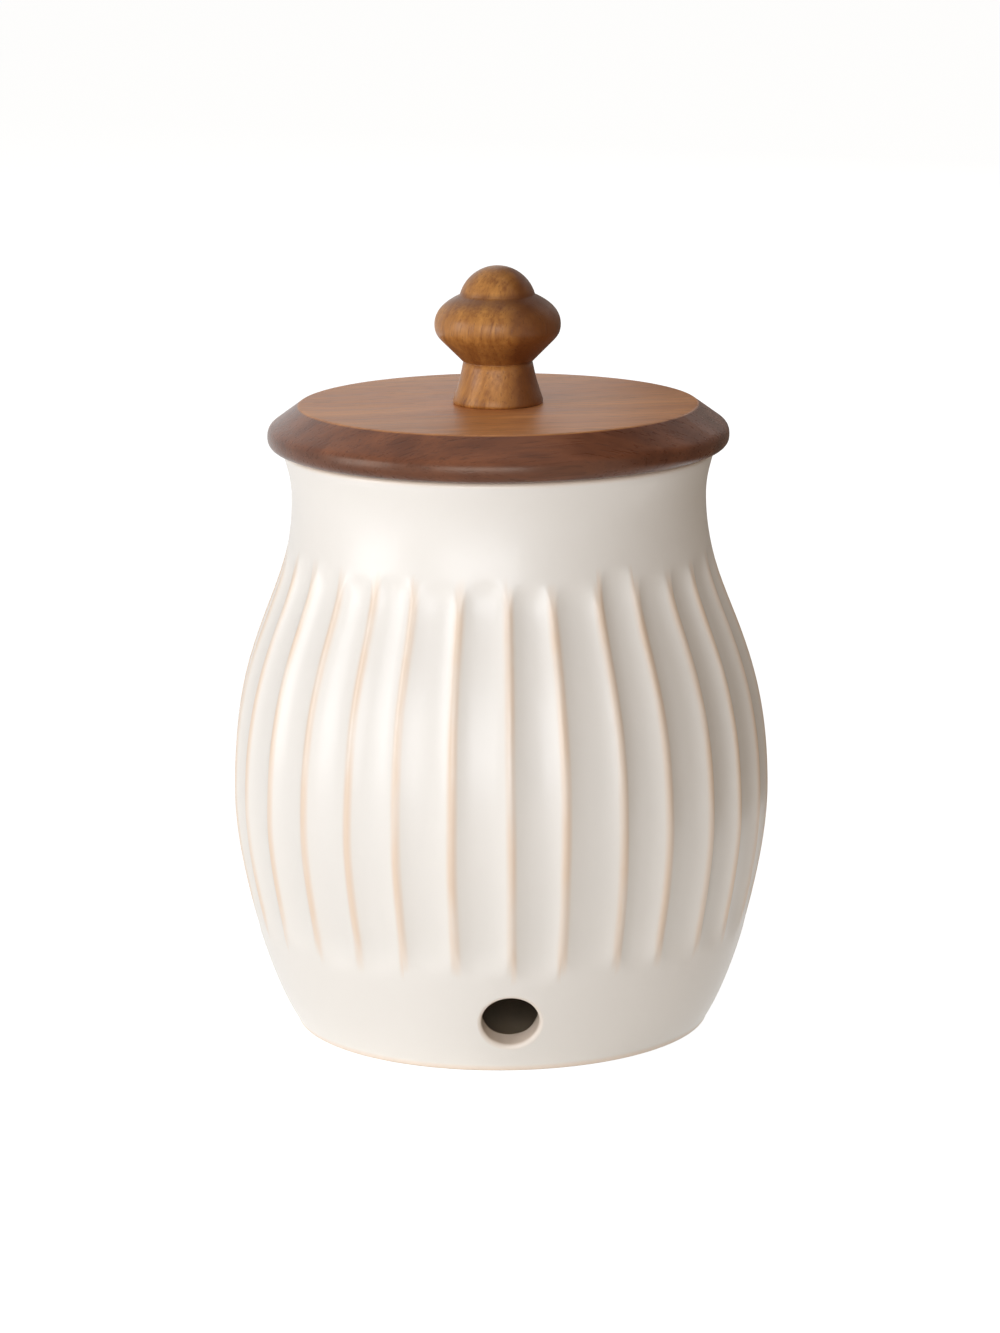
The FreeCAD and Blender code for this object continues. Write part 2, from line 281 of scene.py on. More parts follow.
def add(tree, kind, inputs=(), **settings):
    """Adds a node with its settings and its inputs."""
    node = tree.nodes.new(kind)
    for name, value in settings.items():
        setattr(node, name, value)
    feed(tree, node, inputs)
    return node


def curve_points(corners, count):
    """Points of a cubic Bezier curve after its first corner."""
    a, b, c, d = (np.array(corner, float) for corner in corners)
    points = []
    for share in np.linspace(0, 1, count + 1)[1:]:
        rest = 1 - share
        points.append(rest ** 3 * a + 3 * rest ** 2 * share * b + 3 * rest * share ** 2 * c + share ** 3 * d)
    return [tuple(point) for point in points]


def steps(start, end, count):
    """Even steps after the start, up to the end."""
    return [start + (end - start) * step / count for step in range(1, count + 1)]


def bend(centre, radius, first, last, count=5):
    """Points of an arc about a centre, angles in degrees, both ends included."""
    turns = np.radians(np.linspace(first, last, count + 1))
    return [(centre[0] + radius * math.cos(turn), centre[1] + radius * math.sin(turn)) for turn in turns]


def jar_outline():
    """Close points of the jar's outside, over the ridges, from foot to rim."""
    lean, flare = math.radians(FOOT_LEAN), math.radians(RIM_LEAN)
    fine = 300
    points = [(FOOT_RADIUS, 0.0)]
    points += curve_points((
        points[-1],
        (FOOT_RADIUS + FOOT_PULL * math.sin(lean), FOOT_PULL * math.cos(lean)),
        (BELLY_RADIUS, BELLY_HEIGHT - BELLY_PULL_BELOW),
        (BELLY_RADIUS, BELLY_HEIGHT)), fine)
    points += curve_points((
        points[-1],
        (BELLY_RADIUS, BELLY_HEIGHT + BELLY_PULL_ABOVE),
        (NECK_RADIUS, NECK_HEIGHT - NECK_PULL_BELOW),
        (NECK_RADIUS, NECK_HEIGHT)), fine)
    points += curve_points((
        points[-1],
        (NECK_RADIUS, NECK_HEIGHT + NECK_PULL_ABOVE),
        (RIM_RADIUS - RIM_PULL * math.sin(flare), JAR_HEIGHT - RIM_PULL * math.cos(flare)),
        (RIM_RADIUS, JAR_HEIGHT)), fine)
    return np.array(points)


OUTLINE = jar_outline()


def outside_radius(height):
    """Radius of the jar's plain outside."""
    return float(np.interp(height, OUTLINE[:, 1], OUTLINE[:, 0]))


def inside_radius(height):
    """Radius of the hollow, with its rounded floor and its straight mouth."""
    mouth_low = JAR_HEIGHT - MOUTH_DEPTH
    if height >= mouth_low:
        return MOUTH_RADIUS
    if height >= FLOOR + INNER_ROUND:
        return max(outside_radius(height) - WALL, MOUTH_RADIUS)
    rise = min(FLOOR + INNER_ROUND - height, INNER_ROUND)
    corner = outside_radius(FLOOR + INNER_ROUND) - WALL - INNER_ROUND
    return corner + math.sqrt(INNER_ROUND ** 2 - rise ** 2)


def jar_rows():
    """Rows of the turned jar from the middle of its underside to the middle of its floor.

    Each row is a radius, a height and whether it is part of the outside that gets carved. After the rows
    come the numbers of the lowest row of the vent's patch outside and of the highest one inside.
    """
    rows = []

    def lay(places, skin=0):
        rows.extend((radius, height, skin) for radius, height in places)

    # The recess with a small chamfer in its corner, the ring that the jar stands on, and its outer edge
    first, last = EDGE_ROUND, JAR_HEIGHT - EDGE_ROUND
    lay((radius, RECESS_DEPTH) for radius in steps(0.0, RECESS_RADIUS - 1.5, 8))
    lay([(RECESS_RADIUS - 0.4, RECESS_DEPTH), (RECESS_RADIUS, RECESS_DEPTH - 0.3)])
    lay(bend((RECESS_RADIUS + RECESS_ROUND, RECESS_ROUND), RECESS_ROUND, 180, 270, 3))
    lay((radius, 0.0) for radius in steps(RECESS_RADIUS + RECESS_ROUND, RECESS_RADIUS + 5.5, 4))
    lay(bend((outside_radius(first) - EDGE_ROUND, EDGE_ROUND), EDGE_ROUND, 270, 360), skin=1)

    # The outside, from the vent's patch up
    patch_low, patch_high = VENT_HEIGHT - PATCH_HALF_HEIGHT, VENT_HEIGHT + PATCH_HALF_HEIGHT
    heights = steps(first, patch_low, 3)
    patch_row = len(rows) + len(heights) - 1
    for low, high, count in (
            (patch_low, patch_high, PATCH_ROWS), (patch_high, FLUTE_FOOTS, 10),
            (FLUTE_FOOTS, FLUTE_SHOULDERS, 36), (FLUTE_SHOULDERS, FLUTE_TOPS, 11), (FLUTE_TOPS, last, 10)):
        heights += steps(low, high, count)
    lay(((outside_radius(height), height) for height in heights), skin=1)

    # The rim and the mouth
    rim_centre = (outside_radius(last) - EDGE_ROUND, last)
    lip = (MOUTH_RADIUS + MOUTH_ROUND, JAR_HEIGHT - MOUTH_ROUND)
    mouth_low = JAR_HEIGHT - MOUTH_DEPTH
    lay(bend(rim_centre, EDGE_ROUND, 0, 90)[1:], skin=1)
    lay((radius, JAR_HEIGHT) for radius in steps(rim_centre[0], lip[0] + 0.5, 3))
    lay(bend(lip, MOUTH_ROUND, 90, 180))
    lay((MOUTH_RADIUS, height) for height in steps(lip[1], mouth_low, 5))

    # The hollow, down to its floor
    inner_top = INNER_PATCH_LOW + PATCH_ROWS * INNER_PATCH_ROW
    lay((inside_radius(height), height) for height in steps(mouth_low, inner_top, 20))
    inner_row = len(rows) - 1
    heights = steps(inner_top, INNER_PATCH_LOW, PATCH_ROWS) + [FLOOR + 0.3, FLOOR + 0.08, FLOOR]
    lay((inside_radius(height), height) for height in heights)
    lay((radius, FLOOR) for radius in steps(inside_radius(FLOOR), 0.0, 10)[:-1])
    return rows, patch_row, inner_row


def vent_directions():
    """Middle of the vent on the wall, the way up the wall there, and the way out of it."""
    step = 0.5
    slope = (outside_radius(VENT_HEIGHT + step) - outside_radius(VENT_HEIGHT - step)) / (2 * step)
    middle = Vector((0, -outside_radius(VENT_HEIGHT), VENT_HEIGHT))
    return middle, Vector((0, -slope, 1)).normalized(), Vector((0, -1, -slope)).normalized()


VENT_MIDDLE, VENT_UP, VENT_OUT = vent_directions()


def on_outside(across, up):
    """Point of the plain outside that lies across and up from the vent's middle, seen along its bore."""
    low, high = VENT_HEIGHT - SEARCH_BELOW, VENT_HEIGHT + SEARCH_ABOVE
    for _ in range(HALVINGS):
        height = (low + high) / 2
        point = Vector((across, -math.sqrt(outside_radius(height) ** 2 - across ** 2), height))
        if (point - VENT_MIDDLE).dot(VENT_UP) < up:
            low = height
        else:
            high = height
    return point


def bore_reach(across, up):
    """Point where a line along the vent's bore comes out of the inner wall."""
    start = VENT_MIDDLE + Vector((across, 0, 0)) + VENT_UP * up
    near, far = 0.0, 4 * WALL
    for _ in range(HALVINGS):
        depth = (near + far) / 2
        point = start - VENT_OUT * depth
        if math.hypot(point.x, point.y) > inside_radius(point.z):
            near = depth
        else:
            far = depth
    return point


def vent_rings(outer_loop, inner_loop):
    """Rings of points from the hole in the outer rows, over the lip and along the bore, to the inner rows."""
    seen = [((point - VENT_MIDDLE).x, (point - VENT_MIDDLE).dot(VENT_UP)) for point in outer_loop]
    turns = [math.atan2(up, across) for across, up in seen]
    lip_radius = VENT_RADIUS + VENT_LIP
    rings = []
    for share in WALL_RINGS:
        ring = []
        for (across, up), turn in zip(seen, turns):
            ring.append(on_outside(across + (lip_radius * math.cos(turn) - across) * share,
                                   up + (lip_radius * math.sin(turn) - up) * share))
        rings.append(ring)
    edge = [on_outside(lip_radius * math.cos(turn), lip_radius * math.sin(turn)) for turn in turns]
    rings.append(edge)
    for degrees in LIP_RINGS:
        bent = math.radians(degrees)
        radius = lip_radius - VENT_LIP * math.sin(bent)
        ring = []
        for point, turn in zip(edge, turns):
            depth = (point - VENT_MIDDLE).dot(VENT_OUT) - VENT_LIP * (1 - math.cos(bent))
            ring.append(VENT_MIDDLE + Vector((radius * math.cos(turn), 0, 0))
                        + VENT_UP * radius * math.sin(turn) + VENT_OUT * depth)
        rings.append(ring)
    lip_end = rings[-1]
    inner_end = [bore_reach(VENT_RADIUS * math.cos(turn), VENT_RADIUS * math.sin(turn)) for turn in turns]
    for share in BORE_RINGS:
        rings.append([start.lerp(end, share) for start, end in zip(lip_end, inner_end)])
    for share in INNER_RINGS:
        ring = []
        for start, end in zip(inner_end, inner_loop):
            place = start.lerp(end, share)
            ring.append(Vector((place.x, -math.sqrt(inside_radius(place.z) ** 2 - place.x ** 2), place.z)))
        rings.append(ring)
    return rings


def patch_loop(bottom, top, columns):
    """Row and column numbers round the patch, from its lower left corner and along its bottom first."""
    rise = 1 if top > bottom else -1
    loop = [(bottom, column) for column in range(-PATCH_COLUMNS, PATCH_COLUMNS)]
    loop += [(row, PATCH_COLUMNS) for row in range(bottom, top, rise)]
    loop += [(top, column) for column in range(PATCH_COLUMNS, -PATCH_COLUMNS, -1)]
    loop += [(row, -PATCH_COLUMNS) for row in range(top, bottom, -rise)]
    return [(row, column % columns) for row, column in loop]


def finished_mesh(shell, name):
    """Makes a closed shell in millimetres a smooth mesh in metres, with its faces pointing outwards."""
    bmesh.ops.recalc_face_normals(shell, faces=shell.faces)
    for face in shell.faces:
        face.smooth = True
    bmesh.ops.scale(shell, vec=(MM, MM, MM), verts=shell.verts)
    mesh = bpy.data.meshes.new(name)
    shell.to_mesh(mesh)
    shell.free()
    return mesh


def turned_jar(flutes):
    """The jar as it leaves the wheel, with its vent, as a mesh in metres.

    flute_place counts the flutes round the jar from the ridge over the vent, skin marks the outside that
    gets carved, vent the lip and the bore of the vent, and hollow the walls and the floor inside.
    """
    rows, patch_row, inner_row = jar_rows()
    shares = [*HALF_FLUTE, 0.5] + [1 - share for share in reversed(HALF_FLUTE[1:])]
    places = [flute + share for flute in range(flutes) for share in shares]
    columns = len(places)
    shell = bmesh.new()
    place_layer, skin_layer, vent_layer, hollow_layer = (
        shell.verts.layers.float.new(name) for name in ("flute_place", "skin", "vent", "hollow"))
    grid = []
    for radius, height, skin in rows:
        ring = []
        for place in places:
            turn = -math.pi / 2 + place / flutes * 2 * math.pi
            vertex = shell.verts.new((radius * math.cos(turn), radius * math.sin(turn), height))
            vertex[place_layer] = place
            vertex[skin_layer] = skin
            vertex[hollow_layer] = not skin and height > RECESS_DEPTH
            ring.append(vertex)
        grid.append(ring)
    inner_bottom = inner_row + PATCH_ROWS
    patches = (range(patch_row, patch_row + PATCH_ROWS), range(inner_row, inner_bottom))
    for row in range(len(grid) - 1):
        has_patch = any(row in patch for patch in patches)
        for column in range(columns):
            if has_patch and (column < PATCH_COLUMNS or column >= columns - PATCH_COLUMNS):
                continue
            after = (column + 1) % columns
            shell.faces.new((
                grid[row][column], grid[row][after], grid[row + 1][after], grid[row + 1][column]))
    for ring, height in ((grid[0], RECESS_DEPTH), (grid[-1], FLOOR)):
        pole = shell.verts.new((0, 0, height))
        pole[hollow_layer] = height == FLOOR
        for column in range(columns):
            shell.faces.new((pole, ring[column], ring[(column + 1) % columns]))
    outer = [grid[row][column] for row, column in patch_loop(patch_row, patch_row + PATCH_ROWS, columns)]
    inner = [grid[row][column] for row, column in patch_loop(inner_bottom, inner_row, columns)]
    rings = vent_rings([vertex.co.copy() for vertex in outer], [vertex.co.copy() for vertex in inner])
    loops = [outer] + [[shell.verts.new(point) for point in ring] for ring in rings] + [inner]
    lip_start = 1 + len(WALL_RINGS)
    bore_end = lip_start + len(LIP_RINGS) + len(BORE_RINGS)
    for loop, mark in zip(loops[lip_start:], LIP_GLAZE + (1.0,) * (1 + len(BORE_RINGS))):
        for vertex in loop:
            vertex[vent_layer] = mark
    for loop in loops[bore_end:]:
        for vertex in loop:
            vertex[hollow_layer] = 1.0
    for near, far in zip(loops, loops[1:]):
        for number in range(len(near)):
            after = (number + 1) % len(near)
            shell.faces.new((near[number], near[after], far[after], far[number]))
    spare = [vertex for vertex in shell.verts if not vertex.link_faces]
    bmesh.ops.delete(shell, geom=spare, context="VERTS")
    return finished_mesh(shell, "jar_thrown")


def carving_tree():
    """Carves flutes into a turned wall, as a hand tool drawn up the clay does.

    Each ridge stands a little off its even place and wanders, and each flute ends at its own height.
    """
    tree = bpy.data.node_groups.new("Carve flutes", "GeometryNodeTree")
    face = tree.interface
    face.new_socket("Geometry", in_out="INPUT", socket_type="NodeSocketGeometry")
    for name, kind in (
            ("Flutes", "Int"), ("Seed", "Int"), ("Flute depth", "Float"), ("Ridge width", "Float"),
            ("Low end", "Float"), ("High end", "Float"), ("End length", "Float"), ("End scatter", "Float"),
            ("Ridge shift", "Float"), ("Ridge wander", "Float"), ("Wobble", "Float"), ("Glaze", "Material")):
        face.new_socket(name, in_out="INPUT", socket_type="NodeSocket" + kind)
    face.new_socket("Geometry", in_out="OUTPUT", socket_type="NodeSocketGeometry")
    given = add(tree, "NodeGroupInput").outputs

    def scatter(number, draw):
        """A random number from -1 to 1 for each ridge or flute, another for each draw."""
        seed = add(tree, "ShaderNodeMath", (given["Seed"], draw), operation="ADD")
        return add(tree, "FunctionNodeRandomValue", {"Min": -1.0, "Max": 1.0, "ID": number, "Seed": seed},
                   data_type="FLOAT")

    # Where a point is: its ridge, the next one, its share of the way between them, its height and radius
    place = add(tree, "GeometryNodeInputNamedAttribute", ("flute_place",), data_type="FLOAT")
    skin = add(tree, "GeometryNodeInputNamedAttribute", ("skin",), data_type="FLOAT")
    position = add(tree, "GeometryNodeInputPosition")
    x, y, height = add(tree, "ShaderNodeSeparateXYZ", (position,)).outputs
    flat = add(tree, "ShaderNodeCombineXYZ", (x, y, 0.0))
    radius = add(tree, "ShaderNodeVectorMath", (flat,), operation="LENGTH")
    number = add(tree, "ShaderNodeMath", (place,), operation="FLOOR")
    share = add(tree, "ShaderNodeMath", (place,), operation="FRACT")
    following = add(tree, "ShaderNodeMath", (number, 1.0), operation="ADD")
    following = add(tree, "ShaderNodeMath", (following, given["Flutes"]), operation="MODULO")
    pitch = add(tree, "ShaderNodeMath", (2 * math.pi, given["Flutes"]), operation="DIVIDE")

    # A ridge keeps its even place near the vent and the rim, where the wall is plain
    held_below = (VENT_HEIGHT + PATCH_HALF_HEIGHT + 0.1) * MM
    above_patch = add(tree, "ShaderNodeMapRange", (height, held_below, RIDGES_LOOSE * MM, 0.0, 1.0),
                      interpolation_type="SMOOTHSTEP")
    below_rim = add(tree, "ShaderNodeMapRange", (height, RIDGES_CAUGHT * MM, RIDGES_EVEN * MM, 1.0, 0.0),
                    interpolation_type="SMOOTHSTEP")
    loose = add(tree, "ShaderNodeMath", (above_patch, below_rim), operation="MULTIPLY")
    loose = add(tree, "ShaderNodeMath", (loose, skin), operation="MULTIPLY")

    # A ridge wanders in long waves, and each ridge in its own
    climb = add(tree, "ShaderNodeMath", (height, 1 / (RIDGE_WAVE * MM)), operation="MULTIPLY")
    swing = add(tree, "ShaderNodeMath", (given["Ridge wander"], 2.0), operation="MULTIPLY")
    shifts = []
    for ridge in (number, following):
        apart = add(tree, "ShaderNodeMath", (ridge, RIDGE_APART), operation="MULTIPLY")
        spot = add(tree, "ShaderNodeCombineXYZ", (apart, climb, 0.0))
        waver = add(tree, "ShaderNodeTexNoise", {"Vector": spot, "Scale": 1.0, "Detail": 1.0},
                    noise_dimensions="2D")
        waver = add(tree, "ShaderNodeMath", (waver, 0.5), operation="SUBTRACT")
        wander = add(tree, "ShaderNodeMath", (waver, swing), operation="MULTIPLY")
        shift = add(tree, "ShaderNodeMath", (scatter(ridge, SHIFT_DRAW), given["Ridge shift"], wander),
                    operation="MULTIPLY_ADD")
        shifts.append(shift)
    between = add(tree, "ShaderNodeMath", (shifts[1], shifts[0]), operation="SUBTRACT")
    drift = add(tree, "ShaderNodeMath", (between, share, shifts[0]), operation="MULTIPLY_ADD")
    drift = add(tree, "ShaderNodeMath", (drift, loose), operation="MULTIPLY")
    swung = add(tree, "ShaderNodeVectorRotate",
                {"Vector": position, "Axis": (0.0, 0.0, 1.0), "Angle": drift}, rotation_type="AXIS_ANGLE")

    # Along its length the flute keeps one depth, and runs out in a round end above and below
    low_end, high_end = (
        add(tree, "ShaderNodeMath", (scatter(number, draw), given["End scatter"], given[end]),
            operation="MULTIPLY_ADD")
        for draw, end in ((LOW_DRAW, "Low end"), (HIGH_DRAW, "High end")))
    above_low = add(tree, "ShaderNodeMath", (height, low_end), operation="SUBTRACT")
    below_high = add(tree, "ShaderNodeMath", (high_end, height), operation="SUBTRACT")
    along = add(tree, "ShaderNodeMath", (above_low, below_high), operation="MINIMUM")
    along = add(tree, "ShaderNodeMath", (along, given["End length"]), operation="DIVIDE")
    along = add(tree, "ShaderNodeMath", (1.0, along), operation="SUBTRACT")
    along = add(tree, "ShaderNodeMath", (along, 0.0), operation="MAXIMUM")
    left_over = add(tree, "ShaderNodeMath", (along, along), operation="MULTIPLY")
    left_over = add(tree, "ShaderNodeMath", (1.0, left_over), operation="SUBTRACT")
    left_over = add(tree, "ShaderNodeMath", (left_over, 0.0), operation="MAXIMUM")

    # Across it is a shallow bowl between its ridges, which narrows at the ends
    across = add(tree, "ShaderNodeMath", (share, 2.0, -1.0), operation="MULTIPLY_ADD")
    across = add(tree, "ShaderNodeMath", (across,), operation="ABSOLUTE")
    flute_width = add(tree, "ShaderNodeMath", (radius, pitch), operation="MULTIPLY")
    ridge_share = add(tree, "ShaderNodeMath", (given["Ridge width"], flute_width), operation="DIVIDE")
    bowl_share = add(tree, "ShaderNodeMath", (1.0, ridge_share), operation="SUBTRACT")
    from_middle = add(tree, "ShaderNodeMath", (across, bowl_share), operation="DIVIDE")
    width_share = add(tree, "ShaderNodeMath", (left_over, 1 - END_WIDTH, END_WIDTH), operation="MULTIPLY_ADD")
    from_middle = add(tree, "ShaderNodeMath", (from_middle, width_share), operation="DIVIDE")
    bowl = add(tree, "ShaderNodeMath", (from_middle, BOWL_FLATNESS), operation="POWER")
    bowl = add(tree, "ShaderNodeMath", (1.0, bowl), operation="SUBTRACT")
    bowl = add(tree, "ShaderNodeMath", (bowl, 0.0), operation="MAXIMUM")
    bowl = add(tree, "ShaderNodeMath", (bowl, BOWL_EDGE), operation="POWER")
    end_depth = add(tree, "ShaderNodeMath", (left_over, END_SOFTNESS), operation="POWER")
    bowl = add(tree, "ShaderNodeMath", (bowl, end_depth), operation="MULTIPLY")
    bowl = add(tree, "ShaderNodeMath", (bowl, skin), operation="MULTIPLY")

    # Flutes differ a little in depth, and the thrown wall has soft dips
    depth = add(tree, "ShaderNodeMath", (scatter(number, DEPTH_DRAW), DEPTH_SCATTER, 1.0),
                operation="MULTIPLY_ADD")
    depth = add(tree, "ShaderNodeMath", (given["Flute depth"], depth), operation="MULTIPLY")
    dip = add(tree, "ShaderNodeTexNoise", {"Vector": position, "Scale": 1 / (WALL_DIP * MM), "Detail": 1.0})
    dip = add(tree, "ShaderNodeMath", (dip, given["Wobble"]), operation="MULTIPLY")
    dip = add(tree, "ShaderNodeMath", (dip, loose), operation="MULTIPLY")
    inward = add(tree, "ShaderNodeMath", (depth, bowl, dip), operation="MULTIPLY_ADD")
    outward = add(tree, "ShaderNodeMath", (inward, -1.0), operation="MULTIPLY")
    move = add(tree, "ShaderNodeVectorMath", (flat,), operation="NORMALIZE")
    move = add(tree, "ShaderNodeVectorMath", {0: move, "Scale": outward}, operation="SCALE")
    carved = add(tree, "ShaderNodeVectorMath", (swung, move), operation="ADD")
    shape = add(tree, "GeometryNodeSetPosition", {"Geometry": given["Geometry"], "Position": carved})

    # What the glaze needs to know: how near the ridge is, and how deep the flute lies
    from_ridge = add(tree, "ShaderNodeMath", (1.0, across), operation="SUBTRACT")
    half_width = add(tree, "ShaderNodeMath", (flute_width, 0.5), operation="MULTIPLY")
    from_ridge = add(tree, "ShaderNodeMath", (from_ridge, half_width), operation="MULTIPLY")
    ridge = add(tree, "ShaderNodeMapRange",
                (from_ridge, THIN_GLAZE_TO * MM, WHOLE_GLAZE_FROM * MM, 1.0, 0.0),
                interpolation_type="SMOOTHSTEP")
    fluted = add(tree, "ShaderNodeMath", (left_over, skin), operation="MULTIPLY", use_clamp=True)
    ridge = add(tree, "ShaderNodeMath", (ridge, fluted), operation="MULTIPLY", use_clamp=True)
    for name, value in (("ridge", ridge), ("bowl", bowl)):
        shape = add(tree, "GeometryNodeStoreNamedAttribute",
                    {"Geometry": shape, "Name": name, "Value": value}, data_type="FLOAT", domain="POINT")
    shape = add(tree, "GeometryNodeRealizeInstances", (shape,))
    shape = add(tree, "GeometryNodeSetMaterial", {"Geometry": shape, "Material": given["Glaze"]})
    add(tree, "NodeGroupOutput", (shape,))
    return tree


def carve(jar, settings, glaze):
    """Runs the carving on the turned jar and keeps its result as a plain mesh."""
    tree = carving_tree()
    modifier = jar.modifiers.new("Carve flutes", "NODES")
    modifier.node_group = tree
    values = {
        "Flutes": settings.flutes, "Seed": settings.seed, "Flute depth": settings.flute_depth,
        "Ridge width": settings.ridge_width, "Low end": settings.flute_low, "High end": settings.flute_high,
        "End length": settings.flute_end, "End scatter": settings.end_scatter,
        "Ridge shift": settings.ridge_shift, "Ridge wander": settings.ridge_wander,
        "Wobble": settings.wobble, "Glaze": glaze}
    for item in tree.interface.items_tree:
        if item.item_type == "SOCKET" and item.in_out == "INPUT" and item.name in values:
            modifier[item.identifier] = values[item.name]
    depsgraph = bpy.context.evaluated_depsgraph_get()
    mesh = bpy.data.meshes.new_from_object(jar.evaluated_get(depsgraph), depsgraph=depsgraph)
    mesh.name = jar.name
    jar.modifiers.clear()
    jar.data = mesh


def place_piece(name, mesh):
    """Puts a mesh in the scene as an object at the origin."""
    piece = bpy.data.objects.new(name, mesh)
    bpy.context.scene.collection.objects.link(piece)
    return piece


def rounded(corners, closed=False, spacing=1.6):
    """Outline with each corner rounded and its straight stretches divided.

    A corner is a radius, a height and the radius of its rounding, all in millimetres.
    """
    count = len(corners)
    points = []
    for number, (radius, height, fillet) in enumerate(corners):
        here = Vector((radius, height))
        if not fillet:
            points.append(here)
            continue
        before = Vector(corners[number - 1][:2]) - here
        after = Vector(corners[(number + 1) % count][:2]) - here
        half = before.angle(after) / 2
        reach = fillet / math.tan(half)
        middle = here + (before.normalized() + after.normalized()).normalized() * fillet / math.sin(half)
        start = here + before.normalized() * reach - middle
        end = here + after.normalized() * reach - middle
        parts = max(3, round(math.degrees(math.pi - 2 * half) / CORNER_STEP))
        for part in range(parts + 1):
            points.append(middle + start.slerp(end, part / parts).normalized() * fillet)
    divided = []
    last = len(points) if closed else len(points) - 1
    for number in range(last):
        start, end = points[number], points[(number + 1) % len(points)]
        parts = max(1, math.ceil((end - start).length / spacing))
        divided += [start.lerp(end, part / parts) for part in range(parts)]
    if not closed:
        divided.append(points[-1])
    return [tuple(point) for point in divided]


def turned(name, outline, closed=False, columns=192):
    """A piece turned about the upright axis from an outline in millimetres. An open one ends on the axis."""
    shell = bmesh.new()
    rings = []
    for radius, height in outline:
        if radius < ON_AXIS:
            rings.append([shell.verts.new((0, 0, height))])
            continue
        ring = []
        for column in range(columns):
            turn = 2 * math.pi * column / columns
            ring.append(shell.verts.new((radius * math.cos(turn), radius * math.sin(turn), height)))
        rings.append(ring)
    pairs = list(zip(rings, rings[1:])) + ([(rings[-1], rings[0])] if closed else [])
    for low, high in pairs:
        for column in range(columns):
            after = (column + 1) % columns
            if len(low) == 1:
                shell.faces.new((low[0], high[after], high[column]))
            elif len(high) == 1:
                shell.faces.new((low[column], low[after], high[0]))
            else:
                shell.faces.new((low[column], low[after], high[after], high[column]))
    return place_piece(name, finished_mesh(shell, name))


def knob_outline():
    """Knob from the foot of its pilot hole, out over its spigot and up to the top of its dome."""
    groove_top = KNOB_WAIST_HEIGHT + 2 * KNOB_GROOVE
    flare_foot = KNOB_FLARE - (KNOB_FLARE_HEIGHT - groove_top)
    under = (KNOB_HEAD_HEIGHT - KNOB_FLARE_HEIGHT) / 2
    over = (KNOB_CREASE_HEIGHT - KNOB_HEAD_HEIGHT) / 2
    lean = math.radians(KNOB_CREASE_LEAN)
    dome_rise = KNOB_HEIGHT - KNOB_CREASE_HEIGHT
    dome = (KNOB_CREASE ** 2 + dome_rise ** 2) / (2 * dome_rise)
    dome_edge = 90 - math.degrees(math.asin(KNOB_CREASE / dome))
    points = rounded([
        (0, PILOT_END - BOARD_TOP, 0),
        (PILOT_RADIUS, PILOT_END - BOARD_TOP, 0),
        (PILOT_RADIUS, -SPIGOT_LENGTH, 0),
        (SPIGOT_RADIUS, -SPIGOT_LENGTH, 0.4),
        (SPIGOT_RADIUS, 0, 0),
        (KNOB_FOOT, 0, KNOB_FOOT_ROUND),
        (KNOB_FOOT - 0.06, KNOB_FOOT_ROUND + 0.6, 0)])
    low = points[-1]
    for share in np.linspace(0, 1, 9)[1:]:
        straight = low[0] + (KNOB_WAIST - low[0]) * share
        hollow = KNOB_WAIST_HOLLOW * math.sin(math.pi * share)
        points.append((straight - hollow, low[1] + (KNOB_WAIST_HEIGHT - low[1]) * share))
    # Two close points at each crease keep it crisp under the smooth shading
    points += [
        (KNOB_WAIST - 0.1, KNOB_WAIST_HEIGHT + 0.08),
        (KNOB_WAIST - KNOB_GROOVE, KNOB_WAIST_HEIGHT + KNOB_GROOVE),
        (flare_foot - 0.06, groove_top - 0.08),
        (flare_foot + 0.1, groove_top + 0.1)]
    points += [(flare_foot + rise, groove_top + rise)
               for rise in steps(0.1, KNOB_FLARE - flare_foot, 5)]
    points += curve_points((
        (KNOB_FLARE, KNOB_FLARE_HEIGHT),
        (KNOB_FLARE + under / 2, KNOB_FLARE_HEIGHT + under / 2),
        (KNOB_HEAD, KNOB_HEAD_HEIGHT - under),
        (KNOB_HEAD, KNOB_HEAD_HEIGHT)), 8)
    points += curve_points((
        (KNOB_HEAD, KNOB_HEAD_HEIGHT),
        (KNOB_HEAD, KNOB_HEAD_HEIGHT + over),
        (KNOB_CREASE + over * math.cos(lean), KNOB_CREASE_HEIGHT - over * math.sin(lean)),
        (KNOB_CREASE, KNOB_CREASE_HEIGHT)), 14)
    points += bend((0, KNOB_HEIGHT - dome), dome, dome_edge + 1, 90, 14)
    return [(radius, height + BOARD_TOP) for radius, height in points]


def new_finish(name):
    """A new material, its tree, its shader, and the object coordinates that its patterns lie on."""
    material = bpy.data.materials.new(name)
    material.use_nodes = True
    tree = material.node_tree
    spot = add(tree, "ShaderNodeTexCoord").outputs["Object"]
    return material, tree, tree.nodes["Principled BSDF"], spot


